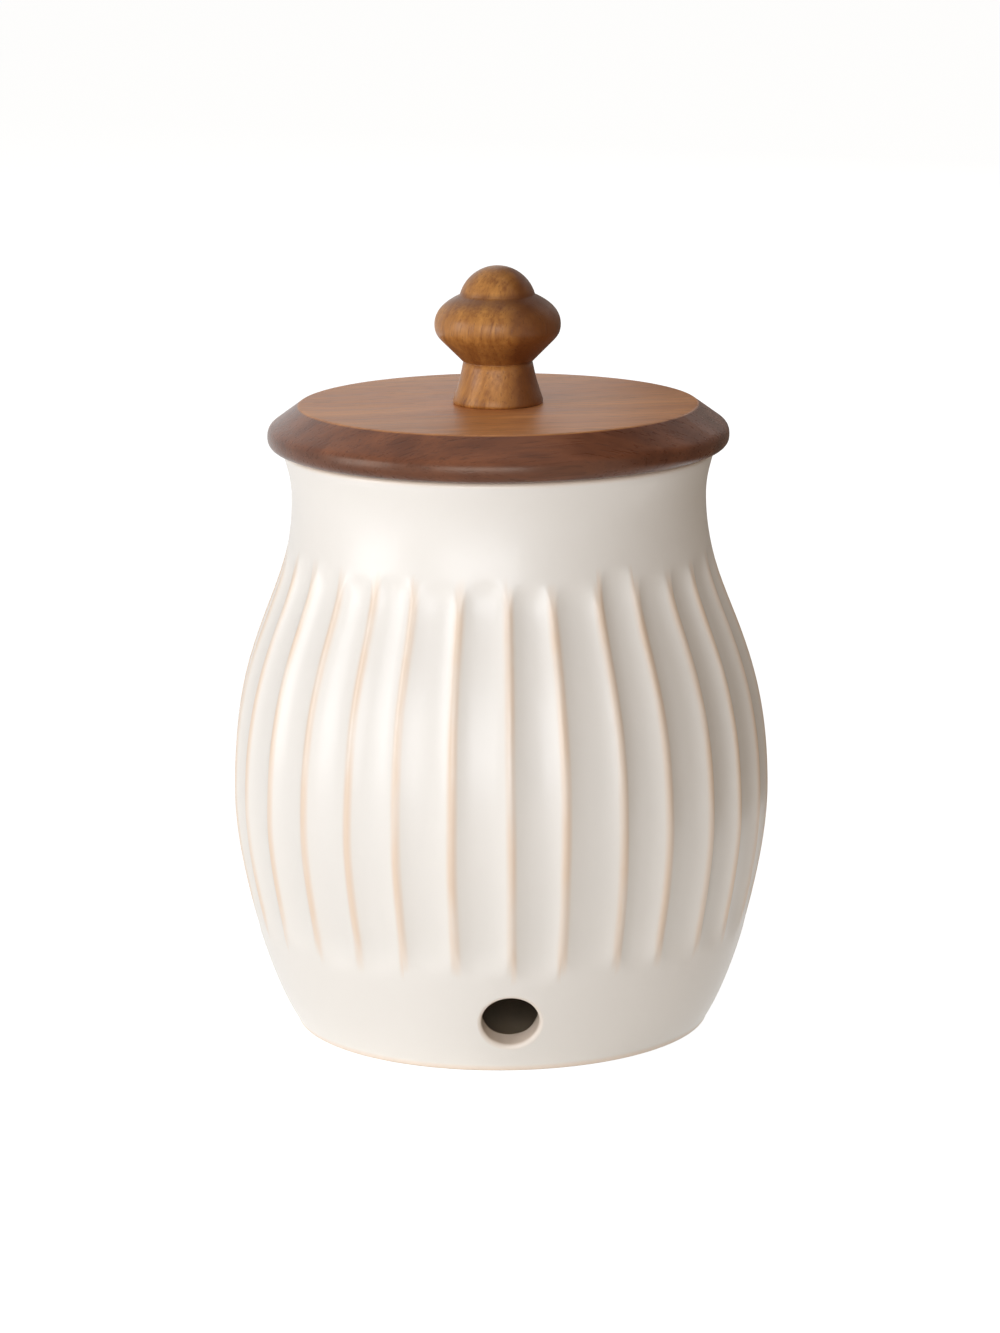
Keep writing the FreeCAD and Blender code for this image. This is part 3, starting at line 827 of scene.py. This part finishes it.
def glazed_stoneware(settings):
    """Stoneware under a soft cream glaze, dipped and fired.

    The glaze lies milky and a little greyer where it pools in a flute, and breaks to warm peach where it
    runs thin over ridges, rim and lip. Its gloss is soft, and the thrown wall under it is a little uneven.
    """
    material, tree, shader, spot = new_finish("glazed_stoneware")
    ridge, bowl, vent, hollow = (
        add(tree, "ShaderNodeAttribute", attribute_name=name).outputs["Fac"]
        for name in ("ridge", "bowl", "vent", "hollow"))
    height = add(tree, "ShaderNodeSeparateXYZ", (spot,)).outputs["Z"]

    # The glaze pools in the flutes, in clouds about 26 mm across
    cloud = add(tree, "ShaderNodeTexNoise", {"Vector": spot, "Scale": 1 / (26 * MM), "Detail": 3.0})
    pooled = add(tree, "ShaderNodeMath", (bowl, cloud), operation="MULTIPLY")
    pooled = add(tree, "ShaderNodeMapRange", (pooled, 0.2, 0.75, 0.0, 0.55))

    # The peach line comes and goes with the thickness of the glaze, which runs in upright streaks
    streaks = add(tree, "ShaderNodeMapping", {"Vector": spot, "Scale": (1.0, 1.0, 0.16)})
    run = add(tree, "ShaderNodeTexNoise", {"Vector": streaks, "Scale": 1 / (5 * MM), "Detail": 2.0})
    broken = add(tree, "ShaderNodeMapRange", (run, 0.34, 0.6, 0.55, 1.0))
    line = add(tree, "ShaderNodeMath", (ridge, broken), operation="MULTIPLY")

    # The glaze is thin too on the rim, the foot's edge and the vent's lip
    rim = add(tree, "ShaderNodeMapRange", (height, (JAR_HEIGHT - 1.6) * MM, (JAR_HEIGHT - 0.4) * MM),
              interpolation_type="SMOOTHSTEP")
    foot = add(tree, "ShaderNodeMapRange", (height, 2.0 * MM, 0.4 * MM), interpolation_type="SMOOTHSTEP")
    edges = add(tree, "ShaderNodeMath", (rim, foot), operation="MAXIMUM")
    edges = add(tree, "ShaderNodeMath", (edges, vent), operation="MAXIMUM")
    edges = add(tree, "ShaderNodeMath", (edges, 0.75), operation="MULTIPLY")

    # The hollow is glazed thin and warm, and the ring that the jar stands on is bare clay
    ring = add(tree, "ShaderNodeMath", (height, 0.15 * MM), operation="LESS_THAN")
    base = settings.glaze
    for share, colour in (
            (pooled, linear("#E9E7E2")), (line, settings.thin_glaze), (edges, settings.thin_glaze),
            (hollow, linear("#E6CFB0")), (ring, settings.bare_clay)):
        base = add(tree, "ShaderNodeMix", {"Factor": share, "A": base, "B": colour}, data_type="RGBA")
    rough = add(tree, "ShaderNodeMix", {"Factor": ring, "A": 0.42, "B": 0.85}, data_type="FLOAT")

    # Orange peel of the fired glaze, about 1.5 mm across, and softer dents of the clay under it
    peel = add(tree, "ShaderNodeTexNoise",
               {"Vector": spot, "Scale": 1 / (3.5 * MM), "Detail": 2.0, "Roughness": 0.45})
    dents = add(tree, "ShaderNodeTexNoise", {"Vector": spot, "Scale": 1 / (9 * MM), "Detail": 1.0})
    relief = add(tree, "ShaderNodeMath", (dents, 2.0, peel), operation="MULTIPLY_ADD")
    bump = add(tree, "ShaderNodeBump", {"Strength": 0.35, "Distance": 0.12 * MM, "Height": relief})
    feed(tree, shader, {
        "Base Color": base, "Roughness": rough, "IOR": 1.5, "Normal": bump,
        "Coat Weight": 0.3, "Coat Roughness": 0.22, "Coat IOR": 1.52, "Coat Normal": bump})
    return material


def wood_grain(tree, spot, ring_width, fibre_length, fibre_width):
    """Growth bands, fibres and pores of a hardwood whose grain runs along X of spot, in that order."""
    warp = add(tree, "ShaderNodeTexNoise", {"Vector": spot, "Scale": 1 / (24 * MM), "Detail": 2.0})
    warp = add(tree, "ShaderNodeVectorMath", (warp.outputs["Color"], (0.5, 0.5, 0.5)), operation="SUBTRACT")
    warp = add(tree, "ShaderNodeVectorMath", (warp, (0.0, 5 * MM, 5 * MM)), operation="MULTIPLY")
    bent = add(tree, "ShaderNodeVectorMath", (spot, warp), operation="ADD")
    _, y, z = add(tree, "ShaderNodeSeparateXYZ", (bent,)).outputs
    flat = add(tree, "ShaderNodeCombineXYZ", (0.0, y, z))
    from_heart = add(tree, "ShaderNodeVectorMath", (flat,), operation="LENGTH")
    rings = add(tree, "ShaderNodeMath", (from_heart, ring_width), operation="DIVIDE")
    bands = add(tree, "ShaderNodeTexNoise", {"W": rings, "Scale": 1.0, "Detail": 3.0, "Roughness": 0.65},
                noise_dimensions="1D")
    drawn = add(tree, "ShaderNodeMapping", {"Vector": bent, "Scale": (fibre_width / fibre_length, 1.0, 1.0)})
    fibres = add(tree, "ShaderNodeTexNoise",
                 {"Vector": drawn, "Scale": 1 / fibre_width, "Detail": 3.0, "Roughness": 0.6})
    pores = add(tree, "ShaderNodeTexNoise", {"Vector": drawn, "Scale": 2.2 / fibre_width, "Detail": 1.0})
    pores = add(tree, "ShaderNodeMapRange", (pores, 0.60, 0.72))
    return bands, fibres, pores


def oiled_board(settings):
    """Acacia board, flat sawn, turned and oiled.

    Broad quiet bands and fine straight fibres run across the top. The turned edge drinks more oil, so it is
    much darker and redder, in blotches, and shinier than the top; painted shade makes it darkest below its
    shoulder.
    """
    material, tree, shader, spot = new_finish("oiled_acacia_board")
    height = add(tree, "ShaderNodeSeparateXYZ", (spot,)).outputs["Z"]
    heart = add(tree, "ShaderNodeMapping",
                {"Vector": spot, "Location": (0.0, -18 * MM, -95 * MM),
                 "Rotation": (0.0, 0.0, math.radians(-8))})
    bands, fibres, pores = wood_grain(tree, heart, 4.5 * MM, 26 * MM, 1.1 * MM)
    tone = add(tree, "ShaderNodeMath", (bands, 0.45), operation="MULTIPLY")
    tone = add(tree, "ShaderNodeMath", (fibres, 0.55, tone), operation="MULTIPLY_ADD")
    tone = add(tree, "ShaderNodeMapRange", (tone, 0.3, 0.7))
    face = add(tree, "ShaderNodeMix", {"Factor": tone, "A": settings.board_dark, "B": settings.board_light},
               data_type="RGBA")

    # The edge drinks oil in slanting blotches about 6 mm wide, and below its shoulder, where it faces down,
    # painted shade darkens it most
    blotches = add(tree, "ShaderNodeMapping",
                   {"Vector": spot, "Rotation": [math.radians(turn) for turn in (20, 35, 25)],
                    "Scale": (0.4, 1.0, 1.0)})
    blotches = add(tree, "ShaderNodeTexNoise", {"Vector": blotches, "Scale": 1 / (6 * MM), "Detail": 3.0})
    drink = add(tree, "ShaderNodeMapRange", (blotches, 0.36, 0.64))
    drink = add(tree, "ShaderNodeMix", {"Factor": 0.5, "A": drink, "B": tone}, data_type="FLOAT")
    shoulder = BOARD_TOP - BEVEL_HEIGHT
    # Painted shade below the shoulder, up to half way to a near-black brown
    shade_below_shoulder = add(tree, "ShaderNodeMapRange", (height, (shoulder + 0.8) * MM, (shoulder - 1.2) * MM, 0.0, 0.5),
               interpolation_type="SMOOTHSTEP")
    edge = settings.edge_dark
    for share, colour in ((drink, linear("#8C563A")), (shade_below_shoulder, linear("#3F2419"))):
        edge = add(tree, "ShaderNodeMix", {"Factor": share, "A": edge, "B": colour}, data_type="RGBA")

    # The edge begins just below the top, and the pores are dark all over
    below_top = add(tree, "ShaderNodeMapRange", (height, (BOARD_TOP - 0.02) * MM, (BOARD_TOP - 0.4) * MM),
                    interpolation_type="SMOOTHSTEP")
    deep = add(tree, "ShaderNodeMath", (pores, 0.45), operation="MULTIPLY")
    base = face
    for share, colour in ((below_top, edge), (deep, linear("#4A2A1A"))):
        base = add(tree, "ShaderNodeMix", {"Factor": share, "A": base, "B": colour}, data_type="RGBA")
    dull = add(tree, "ShaderNodeMapRange", (fibres, 0.3, 0.7, 0.38, 0.46))
    polished = add(tree, "ShaderNodeMapRange", (fibres, 0.3, 0.7, 0.25, 0.34))
    rough = add(tree, "ShaderNodeMix", {"Factor": below_top, "A": dull, "B": polished}, data_type="FLOAT")
    relief = add(tree, "ShaderNodeMath", (pores, -0.6, fibres), operation="MULTIPLY_ADD")
    bump = add(tree, "ShaderNodeBump", {"Strength": 0.22, "Distance": 0.12 * MM, "Height": relief})
    feed(tree, shader, {
        "Base Color": base, "Roughness": rough, "IOR": 1.5, "Normal": bump,
        "Specular IOR Level": 0.4, "Specular Tint": linear("#FFEAD6")})
    return material


def oiled_knob(settings):
    """Acacia turned on the lathe with its grain upright, oiled.

    Golden brown with mottled darker flecks where the lathe crosses the fibres, brown heartwood on one side,
    and painted shade that darkens the crease under the dome and the wood below the head.
    """
    material, tree, shader, spot = new_finish("oiled_acacia_knob")
    across, _, height = add(tree, "ShaderNodeSeparateXYZ", (spot,)).outputs

    # The grain stands upright here, so X of the pattern is the knob's own Z
    heart = add(tree, "ShaderNodeMapping",
                {"Vector": spot, "Location": (0.0, 14 * MM, 9 * MM),
                 "Rotation": (0.0, math.radians(82), math.radians(7))})
    bands, fibres, pores = wood_grain(tree, heart, 3.2 * MM, 9 * MM, 0.9 * MM)
    mottle = add(tree, "ShaderNodeTexNoise", {"Vector": spot, "Scale": 1 / (4.5 * MM), "Detail": 3.0})
    tone = add(tree, "ShaderNodeMath", (bands, 0.25), operation="MULTIPLY")
    tone = add(tree, "ShaderNodeMath", (fibres, 0.4, tone), operation="MULTIPLY_ADD")
    tone = add(tree, "ShaderNodeMath", (mottle, 0.35, tone), operation="MULTIPLY_ADD")
    tone = add(tree, "ShaderNodeMapRange", (tone, 0.34, 0.66))

    # Heartwood takes over on one side, along a ragged line that follows the grain
    ragged = add(tree, "ShaderNodeMath", (fibres, 5 * MM, across), operation="MULTIPLY_ADD")
    ragged = add(tree, "ShaderNodeMath", (mottle, 9 * MM, ragged), operation="MULTIPLY_ADD")
    heartwood = add(tree, "ShaderNodeMapRange", (ragged, 8.0 * MM, 12.5 * MM, 0.0, 0.85),
                    interpolation_type="SMOOTHSTEP")
    deep = add(tree, "ShaderNodeMath", (pores, 0.4), operation="MULTIPLY")

    # Painted shade darkens the crease under the dome and the wood below the head
    crease = (BOARD_TOP + KNOB_CREASE_HEIGHT) * MM
    into_crease = add(tree, "ShaderNodeMapRange", (height, crease - 3.2 * MM, crease - 0.6 * MM),
                      interpolation_type="SMOOTHSTEP")
    out_of_crease = add(tree, "ShaderNodeMapRange", (height, crease + 0.2 * MM, crease + 1.4 * MM, 1.0, 0.0),
                        interpolation_type="SMOOTHSTEP")
    crease_shade = add(tree, "ShaderNodeMath", (into_crease, out_of_crease), operation="MULTIPLY")
    waist = (BOARD_TOP + KNOB_WAIST_HEIGHT) * MM
    above_waist = add(tree, "ShaderNodeMapRange", (height, waist, waist + 0.3 * MM))
    below_head = add(tree, "ShaderNodeMapRange", (height, waist + 2.5 * MM, waist + 8.0 * MM, 1.0, 0.0),
                     interpolation_type="SMOOTHSTEP")
    shade_under_head = add(tree, "ShaderNodeMath", (above_waist, below_head), operation="MULTIPLY")
    # Painted shade: half way to dark brown in the crease and under the head
    painted_knob_shade = add(tree, "ShaderNodeMath", (crease_shade, shade_under_head), operation="MAXIMUM")
    painted_knob_shade = add(tree, "ShaderNodeMath", (painted_knob_shade, 0.5), operation="MULTIPLY")

    base = settings.knob_dark
    for share, colour in (
            (tone, settings.knob_light), (heartwood, settings.knob_heart),
            (deep, linear("#5A3216")), (painted_knob_shade, linear("#582B12"))):
        base = add(tree, "ShaderNodeMix", {"Factor": share, "A": base, "B": colour}, data_type="RGBA")
    rough = add(tree, "ShaderNodeMapRange", (mottle, 0.3, 0.7, 0.28, 0.44))
    relief = add(tree, "ShaderNodeMath", (pores, -0.6, mottle), operation="MULTIPLY_ADD")
    bump = add(tree, "ShaderNodeBump", {"Strength": 0.3, "Distance": 0.15 * MM, "Height": relief})
    feed(tree, shader, {
        "Base Color": base, "Roughness": rough, "IOR": 1.5, "Normal": bump,
        "Specular IOR Level": 0.42, "Specular Tint": linear("#FFEAD6")})
    return material


def moulded_silicone():
    """Food-grade silicone, moulded: milky, soft to the eye, slightly dusty, with a faint flow pattern."""
    material, tree, shader, spot = new_finish("moulded_silicone")
    cloud = add(tree, "ShaderNodeTexNoise", {"Vector": spot, "Scale": 1 / (6 * MM), "Detail": 2.0})
    base = add(tree, "ShaderNodeMix", {"Factor": cloud, "A": linear("#D9DAD6"), "B": linear("#E8E8E3")},
               data_type="RGBA")
    rough = add(tree, "ShaderNodeMapRange", (cloud, 0.3, 0.7, 0.4, 0.55))
    dust = add(tree, "ShaderNodeTexNoise", {"Vector": spot, "Scale": 1 / (0.4 * MM), "Detail": 1.0})
    bump = add(tree, "ShaderNodeBump", {"Strength": 0.15, "Distance": 0.03 * MM, "Height": dust})
    feed(tree, shader, {
        "Base Color": base, "Roughness": rough, "IOR": 1.41, "Normal": bump,
        "Subsurface Weight": 0.3, "Subsurface Scale": 1.5 * MM})
    return material


def zinc_plated_steel():
    """Cold-headed steel, bright zinc plated: cool grey, with fine uneven crystals in its gloss."""
    material, tree, shader, spot = new_finish("zinc_plated_steel")
    crystals = add(tree, "ShaderNodeTexNoise", {"Vector": spot, "Scale": 1 / (0.6 * MM), "Detail": 2.0})
    base = add(tree, "ShaderNodeMix", {"Factor": crystals, "A": linear("#A9ACB0"), "B": linear("#C9CBCD")},
               data_type="RGBA")
    rough = add(tree, "ShaderNodeMapRange", (crystals, 0.3, 0.7, 0.24, 0.4))
    bump = add(tree, "ShaderNodeBump", {"Strength": 0.1, "Distance": 0.02 * MM, "Height": crystals})
    feed(tree, shader, {"Base Color": base, "Metallic": 1.0, "Roughness": rough, "Normal": bump})
    return material


class GARLIC_OT_jar(bpy.types.Operator):
    """Make the thrown, carved and glazed jar with its vent"""

    bl_idname = "garlic_keeper.jar"
    bl_label = "Jar"

    def execute(self, context):
        settings = context.scene.garlic_jar
        jar = place_piece("fluted_jar", turned_jar(settings.flutes))
        carve(jar, settings, glazed_stoneware(settings))
        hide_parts("jar")
        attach(jar, "jar")
        return {"FINISHED"}


class GARLIC_OT_lid_board(bpy.types.Operator):
    """Make the turned board of the lid and the plug under it"""

    bl_idname = "garlic_keeper.lid_board"
    bl_label = "Lid board and plug"

    def execute(self, context):
        wood = oiled_board(context.scene.garlic_lid)
        spigot_low = BOARD_TOP - SPIGOT_LENGTH
        spigot_hole = SPIGOT_RADIUS + SPIGOT_CLEARANCE
        board = turned("turned_board", rounded([
            (SCREW_HOLE, BOARD_LOW, 0),
            (BOARD_RADIUS, BOARD_LOW, BOARD_UNDER_ROUND),
            (BOARD_RADIUS, BOARD_TOP - BEVEL_HEIGHT, BOARD_SHOULDER_ROUND),
            (BOARD_TOP_RADIUS, BOARD_TOP, BOARD_TOP_ROUND),
            (spigot_hole, BOARD_TOP, 0),
            (spigot_hole, spigot_low, 0),
            (SCREW_HOLE, spigot_low, 0)], closed=True), closed=True)
        groove_low = PLUG_LOW + GROOVE_LOW
        groove_radius = PLUG_RADIUS - GROOVE_DEPTH
        seat = PLUG_LOW + COUNTERBORE_DEPTH
        plug = turned("turned_plug", rounded([
            (COUNTERBORE_RADIUS, PLUG_LOW, 0.3),
            (PLUG_RADIUS, PLUG_LOW, PLUG_ROUND),
            (PLUG_RADIUS, groove_low, 0.2),
            (groove_radius, groove_low, 0),
            (groove_radius, groove_low + GROOVE_HEIGHT, 0),
            (PLUG_RADIUS, groove_low + GROOVE_HEIGHT, 0.2),
            (PLUG_RADIUS, BOARD_LOW, 0),
            (SCREW_HOLE, BOARD_LOW, 0),
            (SCREW_HOLE, seat, 0),
            (COUNTERBORE_RADIUS, seat, 0)], closed=True), closed=True)
        for piece, node in ((board, "lid_board"), (plug, "lid_plug")):
            piece.data.materials.append(wood)
            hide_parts(node)
            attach(piece, "lid")
        return {"FINISHED"}


class GARLIC_OT_knob(bpy.types.Operator):
    """Make the turned knob"""

    bl_idname = "garlic_keeper.knob"
    bl_label = "Knob"

    def execute(self, context):
        knob = turned("turned_knob", knob_outline(), columns=128)
        knob.data.materials.append(oiled_knob(context.scene.garlic_lid))
        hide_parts("knob")
        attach(knob, "lid")
        return {"FINISHED"}


class GARLIC_OT_seal(bpy.types.Operator):
    """Make the silicone ring with its two fins"""

    bl_idname = "garlic_keeper.seal"
    bl_label = "Seal"

    def execute(self, context):
        low = PLUG_LOW + GROOVE_LOW + SEAL_CLEARANCE
        high = PLUG_LOW + GROOVE_LOW + GROOVE_HEIGHT - SEAL_CLEARANCE
        inner = PLUG_RADIUS - GROOVE_DEPTH + SEAL_CLEARANCE
        root = PLUG_RADIUS + SEAL_CLEARANCE
        tip = FIN_THICKNESS * 0.35
        seal = turned("silicone_seal", rounded([
            (inner, low, 0.3),
            (root, low, 0.1),
            (SEAL_REACH, low + FIN_RISE, tip),
            (SEAL_REACH, low + FIN_RISE + FIN_THICKNESS, tip),
            (root, low + FIN_THICKNESS, 0.1),
            (root, high - FIN_THICKNESS, 0.1),
            (SEAL_REACH, high - FIN_THICKNESS + FIN_RISE, tip),
            (SEAL_REACH, high + FIN_RISE, tip),
            (root, high, 0.1),
            (inner, high, 0.3)], closed=True, spacing=0.8), closed=True)
        seal.data.materials.append(moulded_silicone())
        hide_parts("lid_seal")
        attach(seal, "seal")
        return {"FINISHED"}


class GARLIC_OT_fixings(bpy.types.Operator):
    """Finish the screw and its washer in plated steel"""

    bl_idname = "garlic_keeper.fixings"
    bl_label = "Screw and washer"

    def execute(self, context):
        steel = zinc_plated_steel()
        for name in ("knob_screw", "screw_washer"):
            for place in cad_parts[name].material_slots:
                place.material = steel
        return {"FINISHED"}


class GARLIC_OT_stage(bpy.types.Operator):
    """Lay the pale floor, hang the soft lights, stand up the dark card and set the camera"""

    bl_idname = "garlic_keeper.stage"
    bl_label = "Stage"

    def execute(self, context):
        settings = context.scene.garlic_stage
        make_floor()
        make_lights(settings)
        make_card()
        make_sky(settings.sky)
        make_camera(settings)
        context.scene.view_settings.view_transform = "Standard"
        return {"FINISHED"}


def seen_plainly(tree):
    """One for what the camera sees, also in gloss and through glass, and zero for what only gives light."""
    path = add(tree, "ShaderNodeLightPath").outputs
    seen = path["Is Camera Ray"]
    for ray in ("Is Glossy Ray", "Is Transmission Ray"):
        seen = add(tree, "ShaderNodeMath", (seen, path[ray]), operation="MAXIMUM")
    return seen


def one_face(name, corners):
    """A flat face with four corners, as an object of its own."""
    mesh = bpy.data.meshes.new(name)
    mesh.from_pydata(corners, [], [(0, 1, 2, 3)])
    return place_piece(name, mesh)


def make_floor():
    """Wide floor of matte paper. The camera sees it nearly white, with the object's soft shadow in it."""
    half = STUDIO_HALF
    floor = one_face("floor", [(-half, -half, 0), (half, -half, 0), (half, half, 0), (-half, half, 0)])
    material = bpy.data.materials.new("matte_paper_sweep")
    material.use_nodes = True
    tree = material.node_tree
    tree.nodes.clear()
    paper = add(tree, "ShaderNodeBsdfDiffuse", {"Color": linear("#F0EDE8")})
    shaded = add(tree, "ShaderNodeBsdfDiffuse", {"Color": linear("#C4C4C4")})
    glow = add(tree, "ShaderNodeEmission", {"Color": linear("#FAFDFF"), "Strength": 0.91})
    bright = add(tree, "ShaderNodeAddShader", (shaded, glow))
    mixed = add(tree, "ShaderNodeMixShader", (seen_plainly(tree), paper, bright))
    add(tree, "ShaderNodeOutputMaterial", (mixed,))
    floor.data.materials.append(material)


def make_lights(settings):
    """A window on the left, a broad light in front, and a weak one behind that lifts the far side."""
    for name, (place, size) in LAMPS.items():
        light = bpy.data.lights.new(name, "AREA")
        light.shape = "RECTANGLE"
        light.size, light.size_y = size
        light.energy = getattr(settings, name + "_power")
        light.color = linear("#F7FAFF")[:3]
        lamp = bpy.data.objects.new(name, light)
        lamp.location = place
        lamp.rotation_euler = (LAMP_AIM - Vector(place)).to_track_quat("-Z", "Y").to_euler()
        bpy.context.scene.collection.objects.link(lamp)


def make_card():
    """A dark card on the right and behind, seen in gloss alone, that keeps the white room off that side."""
    card = one_face("card", [
        (*CARD_START, 0), (*CARD_END, 0), (*CARD_END, CARD_HEIGHT), (*CARD_START, CARD_HEIGHT)])
    for rays in ("camera", "diffuse", "transmission", "shadow", "volume_scatter"):
        setattr(card, "visible_" + rays, False)
    material = bpy.data.materials.new("dark_felt_card")
    material.use_nodes = True
    material.node_tree.nodes["Principled BSDF"].inputs["Base Color"].default_value = linear("#75695C")
    card.data.materials.append(material)


def make_sky(level):
    """Even warm light from all round. The camera, gloss and glass see plain white instead."""
    world = bpy.data.worlds.new("studio")
    world.use_nodes = True
    bpy.context.scene.world = world
    tree = world.node_tree
    tree.nodes.clear()
    soft = add(tree, "ShaderNodeBackground", (linear("#FFE0BE"), level))
    white = add(tree, "ShaderNodeBackground", (linear("#FFFFFF"), 1.0))
    mixed = add(tree, "ShaderNodeMixShader", (seen_plainly(tree), soft, white))
    add(tree, "ShaderNodeOutputWorld", (mixed,))


def make_camera(settings):
    """The photograph's camera, in front, a little to the left and above, looking down on the jar."""
    data = bpy.data.cameras.new("camera")
    data.sensor_width = SENSOR
    data.lens = FOCAL_PIXELS / FRAME_HEIGHT * SENSOR
    camera = bpy.data.objects.new("camera", data)
    stand = Vector((-settings.distance * math.sin(settings.turn),
                    -settings.distance * math.cos(settings.turn),
                    settings.height))
    camera.matrix_world = (
        Matrix.Translation(stand)
        @ Matrix.Rotation(-settings.turn, 4, "Z")
        @ Matrix.Rotation(math.pi / 2 - settings.pitch, 4, "X")
        @ Matrix.Rotation(-settings.roll, 4, "Z"))
    bpy.context.scene.collection.objects.link(camera)
    bpy.context.scene.camera = camera


PIECES = (GARLIC_OT_jar, GARLIC_OT_lid_board, GARLIC_OT_knob, GARLIC_OT_seal, GARLIC_OT_fixings)


class GARLIC_PT_panel(bpy.types.Panel):
    """Lists what makes the garlic keeper, piece by piece"""

    bl_idname = "GARLIC_PT_panel"
    bl_label = "Garlic keeper"
    bl_space_type = "VIEW_3D"
    bl_region_type = "UI"
    bl_category = "Garlic keeper"

    def draw(self, context):
        scene = context.scene
        for operator in PIECES + (GARLIC_OT_stage,):
            self.layout.operator(operator.bl_idname)
        for settings in (scene.garlic_jar, scene.garlic_lid, scene.garlic_stage):
            column = self.layout.column()
            for name in settings.bl_rna.properties.keys():
                if name not in ("rna_type", "name"):
                    column.prop(settings, name)


CLASSES = (
    GarlicJarSettings, GarlicLidSettings, GarlicStageSettings, *PIECES, GARLIC_OT_stage, GARLIC_PT_panel)


def register():
    for entry in CLASSES:
        bpy.utils.register_class(entry)
    bpy.types.Scene.garlic_jar = PointerProperty(type=GarlicJarSettings)
    bpy.types.Scene.garlic_lid = PointerProperty(type=GarlicLidSettings)
    bpy.types.Scene.garlic_stage = PointerProperty(type=GarlicStageSettings)


def unregister():
    del bpy.types.Scene.garlic_stage
    del bpy.types.Scene.garlic_lid
    del bpy.types.Scene.garlic_jar
    for entry in reversed(CLASSES):
        bpy.utils.unregister_class(entry)


def main():
    register()
    bpy.ops.garlic_keeper.stage()
    bpy.ops.garlic_keeper.jar()
    bpy.ops.garlic_keeper.lid_board()
    bpy.ops.garlic_keeper.knob()
    bpy.ops.garlic_keeper.seal()
    bpy.ops.garlic_keeper.fixings()


if __name__ == "__main__":
    main()
